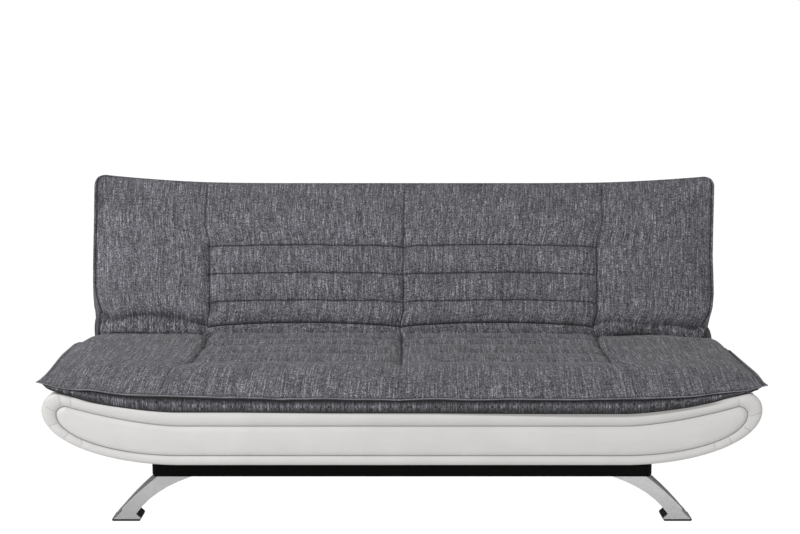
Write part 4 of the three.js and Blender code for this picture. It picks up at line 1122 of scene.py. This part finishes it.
def inner_panel(name, place, shell_end):
    """The softly crowned face inside the border roll, drawn down into the seam round it."""
    half = shell_outline(shell_end, 1.0, OUTLINE_ANGLES)
    count = len(half)
    rungs = count // 2
    low, high = half[:rungs], half[::-1][:rungs]
    across = np.array([0, 0.012, 0.03, 0.06, 0.11, 0.18, 0.28, 0.4, 0.5, 0.6, 0.72, 0.82, 0.89, 0.94, 0.97, 0.988, 1])
    grid = low[:, None] + (high - low)[:, None] * across[None, :, None]
    grid = np.concatenate([(grid * np.array([-1, 1]))[::-1][:-1], grid])
    loop = full_loop(half)
    flat = grid.reshape(-1, 2)
    edge = np.full(len(flat), 1.0)
    for start in range(0, len(loop)):
        edge = np.minimum(edge, distance_to_segment(flat, loop[start - 1], loop[start]))
    swell = (1 - np.clip(edge / 0.016, 0, 1)) ** 2.2
    depth = INNER_CROWN_DEPTH + (GROOVE_DEPTH - INNER_CROWN_DEPTH) * swell
    depth = depth - 0.0022 * smooth(edge / 0.045)
    depth = depth + 0.0004 * soft_noise(flat[:, 0], flat[:, 1], 0.12, 0.05, 5)
    front = np.stack([flat[:, 0], depth, flat[:, 1]], 1)
    rear = front.copy()
    rear[:, 1] = GROOVE_DEPTH + 0.004
    rows, columns = grid.shape[:2]
    size = rows * columns
    ring = np.concatenate(
        [
            np.arange(columns),
            np.arange(1, rows) * columns + columns - 1,
            (rows - 1) * columns + np.arange(columns - 2, -1, -1),
            np.arange(rows - 2, 0, -1) * columns,
        ]
    )
    after = np.roll(ring, -1)
    rim = np.stack([ring, ring + size, after + size, after], 1)
    faces = np.concatenate([grid_faces(rows, columns), grid_faces(rows, columns, size)[:, ::-1], rim])
    local = np.concatenate([front, rear])
    piece = mesh_object(name, place(local[:, 0], local[:, 1], local[:, 2]), faces, LEATHER)
    line = np.exp(-((edge / 0.0013) ** 2))
    add_attribute(piece, "seam", "FLOAT", np.concatenate([line, 0 * line]))
    face_outwards(piece)
    return piece


def end_cover(name, place, side, shell_end):
    """Leather round one end of a shell, from the level bottom over the tip to its top edge."""
    half = shell_outline(shell_end, 0, OUTLINE_ANGLES)
    last = len(half) - len(OUTLINE_ANGLES[2]) - 19
    outer = half[19:last]
    tangent = np.gradient(outer, axis=0)
    normal = np.stack([tangent[:, 1], -tangent[:, 0]], 1)
    normal /= np.linalg.norm(normal, axis=1)[:, None]
    depths = stations(PANEL_DEPTH + 0.0004, SKIN_REAR, 0.020, (), ())
    depths = np.sort(np.concatenate([depths, PANEL_DEPTH + np.array([0.002, 0.005, 0.010, 0.016])]))
    share = (depths - depths[0]) / (depths[-1] - depths[0])
    puff = 0.0030 * (1 - (1 - np.clip(share / 0.08, 0, 1)) ** 2) * (1 - np.clip((share - 0.96) / 0.04, 0, 1) ** 2)
    away = smooth((outer[:, 0] - 0.72) / 0.12)
    ripple = soft_noise(depths[None, :] + 0 * outer[:, :1], np.cumsum(np.linalg.norm(tangent, axis=1))[:, None] + 0 * depths[None, :], 0.09, 0.05, 7)
    lift = (puff[None, :] - 0.0028 + 0.0007 * ripple) * away[:, None]
    skin = outer[:, None] + normal[:, None] * lift[..., None]
    inner = outer[:, None] - normal[:, None] * SKIN + 0 * lift[..., None]
    layers = []
    for layer in (skin, inner):
        x = side * layer[..., 0]
        layers.append(np.stack([x, depths[None, :] + 0 * x, layer[..., 1]], -1))
    rows, columns = layers[0].shape[:2]
    size = rows * columns
    ring = np.concatenate(
        [
            np.arange(columns),
            np.arange(1, rows) * columns + columns - 1,
            (rows - 1) * columns + np.arange(columns - 2, -1, -1),
            np.arange(rows - 2, 0, -1) * columns,
        ]
    )
    after = np.roll(ring, -1)
    rim = np.stack([ring, ring + size, after + size, after], 1)
    faces = np.concatenate([grid_faces(rows, columns), grid_faces(rows, columns, size)[:, ::-1], rim])
    local = np.concatenate([layer.reshape(-1, 3) for layer in layers])
    piece = mesh_object(name, place(local[:, 0], local[:, 1], local[:, 2]), faces, LEATHER)
    line = np.zeros((rows, columns))
    line[:, :2] = 0.7
    add_attribute(piece, "seam", "FLOAT", np.concatenate([line.ravel(), 0 * line.ravel()]))
    face_outwards(piece)
    return piece


def shell(unit, body, place, shell_end, panel_node):
    pieces = [
        (border_roll(f"{unit}_border_roll", place, shell_end), (panel_node,)),
        (inner_panel(f"{unit}_inner_panel", place, shell_end), (panel_node,)),
        (end_cover(f"{unit}_cover_right", place, 1, shell_end), (f"{unit}_end_right",)),
        (end_cover(f"{unit}_cover_left", place, -1, shell_end), (f"{unit}_end_left",)),
    ]
    for piece, nodes in pieces:
        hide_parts(*nodes)
        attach(piece, body)


# Carried nodes


def dress_nodes():
    """Gives every CAD node its material, and the steel, plastic, zinc and leg nodes a small bevel on their edges."""
    slots = {part["node"]: part["material_slot"] for part in frame["record"]["subparts"]}
    for name, node in frame["nodes"].items():
        node.data.materials.clear()
        node.data.materials.append(SLOT_MATERIALS[slots[name]])
        if slots[name] in ("black_steel", "black_plastic", "zinc_steel", "leg_metal"):
            add_bevel(node, 0.0008 if slots[name] == "zinc_steel" else 0.0012)


# Floor, light and camera

FLOOR_TONE = 0.80
FLOOR_GLOW = 1.12
FLOOR_GLOW_SHARE = 0.90
LENS = 65.2
CAMERA_BACK = 3.8
CAMERA_HEIGHT = 1.265
CAMERA_PITCH = 7.9
PICTURE_WIDTH = 800
SIDE_SHIFT = 2.0


def floor():
    n = Nodes("floor")
    n.tree.nodes.remove(n.shader)
    output = n.tree.nodes["Material Output"]
    matt = n.add("ShaderNodeBsdfDiffuse")
    matt.inputs["Color"].default_value = (FLOOR_TONE, FLOOR_TONE, FLOOR_TONE, 1)
    glow = n.add("ShaderNodeEmission")
    glow.inputs["Strength"].default_value = FLOOR_GLOW
    path = n.add("ShaderNodeLightPath")
    seen = n.math("MAXIMUM", path.outputs["Is Camera Ray"], path.outputs["Is Glossy Ray"])
    part = n.math("MULTIPLY", seen, FLOOR_GLOW_SHARE)
    mix = n.add("ShaderNodeMixShader")
    n.link(part, mix.inputs[0])
    n.link(matt.outputs[0], mix.inputs[1])
    n.link(glow.outputs[0], mix.inputs[2])
    n.link(mix.outputs[0], output.inputs["Surface"])
    reach = 30.0
    points = [(-reach, -reach, 0), (reach, -reach, 0), (reach, reach, 0), (-reach, reach, 0)]
    plane = mesh_object("floor", points, [(0, 1, 2, 3)], n.material)


def world():
    made = bpy.data.worlds.new("studio")
    made.use_nodes = True
    bpy.context.scene.world = made
    tree = made.node_tree
    light = tree.nodes["Background"]
    light.inputs["Color"].default_value = (1, 1, 1, 1)
    light.inputs["Strength"].default_value = 0.30
    seen = tree.nodes.new("ShaderNodeBackground")
    seen.inputs["Color"].default_value = (1, 1, 1, 1)
    seen.inputs["Strength"].default_value = 1.0
    path = tree.nodes.new("ShaderNodeLightPath")
    mix = tree.nodes.new("ShaderNodeMixShader")
    widest = tree.nodes.new("ShaderNodeMath")
    widest.operation = "MAXIMUM"
    both = tree.nodes.new("ShaderNodeMath")
    both.operation = "MAXIMUM"
    tree.links.new(path.outputs["Is Camera Ray"], widest.inputs[0])
    tree.links.new(path.outputs["Is Glossy Ray"], widest.inputs[1])
    tree.links.new(widest.outputs[0], both.inputs[0])
    tree.links.new(path.outputs["Is Transmission Ray"], both.inputs[1])
    tree.links.new(both.outputs[0], mix.inputs[0])
    tree.links.new(light.outputs[0], mix.inputs[1])
    tree.links.new(seen.outputs[0], mix.inputs[2])
    tree.links.new(mix.outputs[0], tree.nodes["World Output"].inputs["Surface"])


def area_light(name, place, target, size, power):
    data = bpy.data.lights.new(name, "AREA")
    data.shape = "RECTANGLE"
    data.size, data.size_y = size
    data.energy = power
    lamp = bpy.data.objects.new(name, data)
    lamp.location = place
    towards = np.array(target) - np.array(place)
    pitch = math.atan2(np.hypot(towards[0], towards[1]), -towards[2])
    lamp.rotation_euler = (pitch, 0, math.atan2(towards[1], towards[0]) - math.pi / 2)
    bpy.context.scene.collection.objects.link(lamp)


def lights():
    area_light("key", (-3.2, -3.7, 2.9), (0, 0, 0.5), (2.2, 1.8), 190)
    area_light("bounce", (1.2, -2.7, 0.35), (0.2, -0.45, 0.35), (2.6, 0.5), 15)


def camera():
    data = bpy.data.cameras.new("camera")
    data.lens = LENS
    data.sensor_width = 36.0
    data.shift_x = -SIDE_SHIFT / PICTURE_WIDTH
    made = bpy.data.objects.new("camera", data)
    made.location = (0, FRONT_Y - CAMERA_BACK, CAMERA_HEIGHT)
    made.rotation_euler = (math.radians(90 - CAMERA_PITCH), 0, 0)
    bpy.context.scene.collection.objects.link(made)
    bpy.context.scene.camera = made


bpy.context.scene.view_settings.view_transform = "Standard"
dress_nodes()
mattress()
shell("seat", "base", seat_place, SHELL_END, "seat_front_panel")
shell("back", "backrest", back_place, BACK_SHELL_END, "back_top_panel")
floor()
world()
lights()
camera()
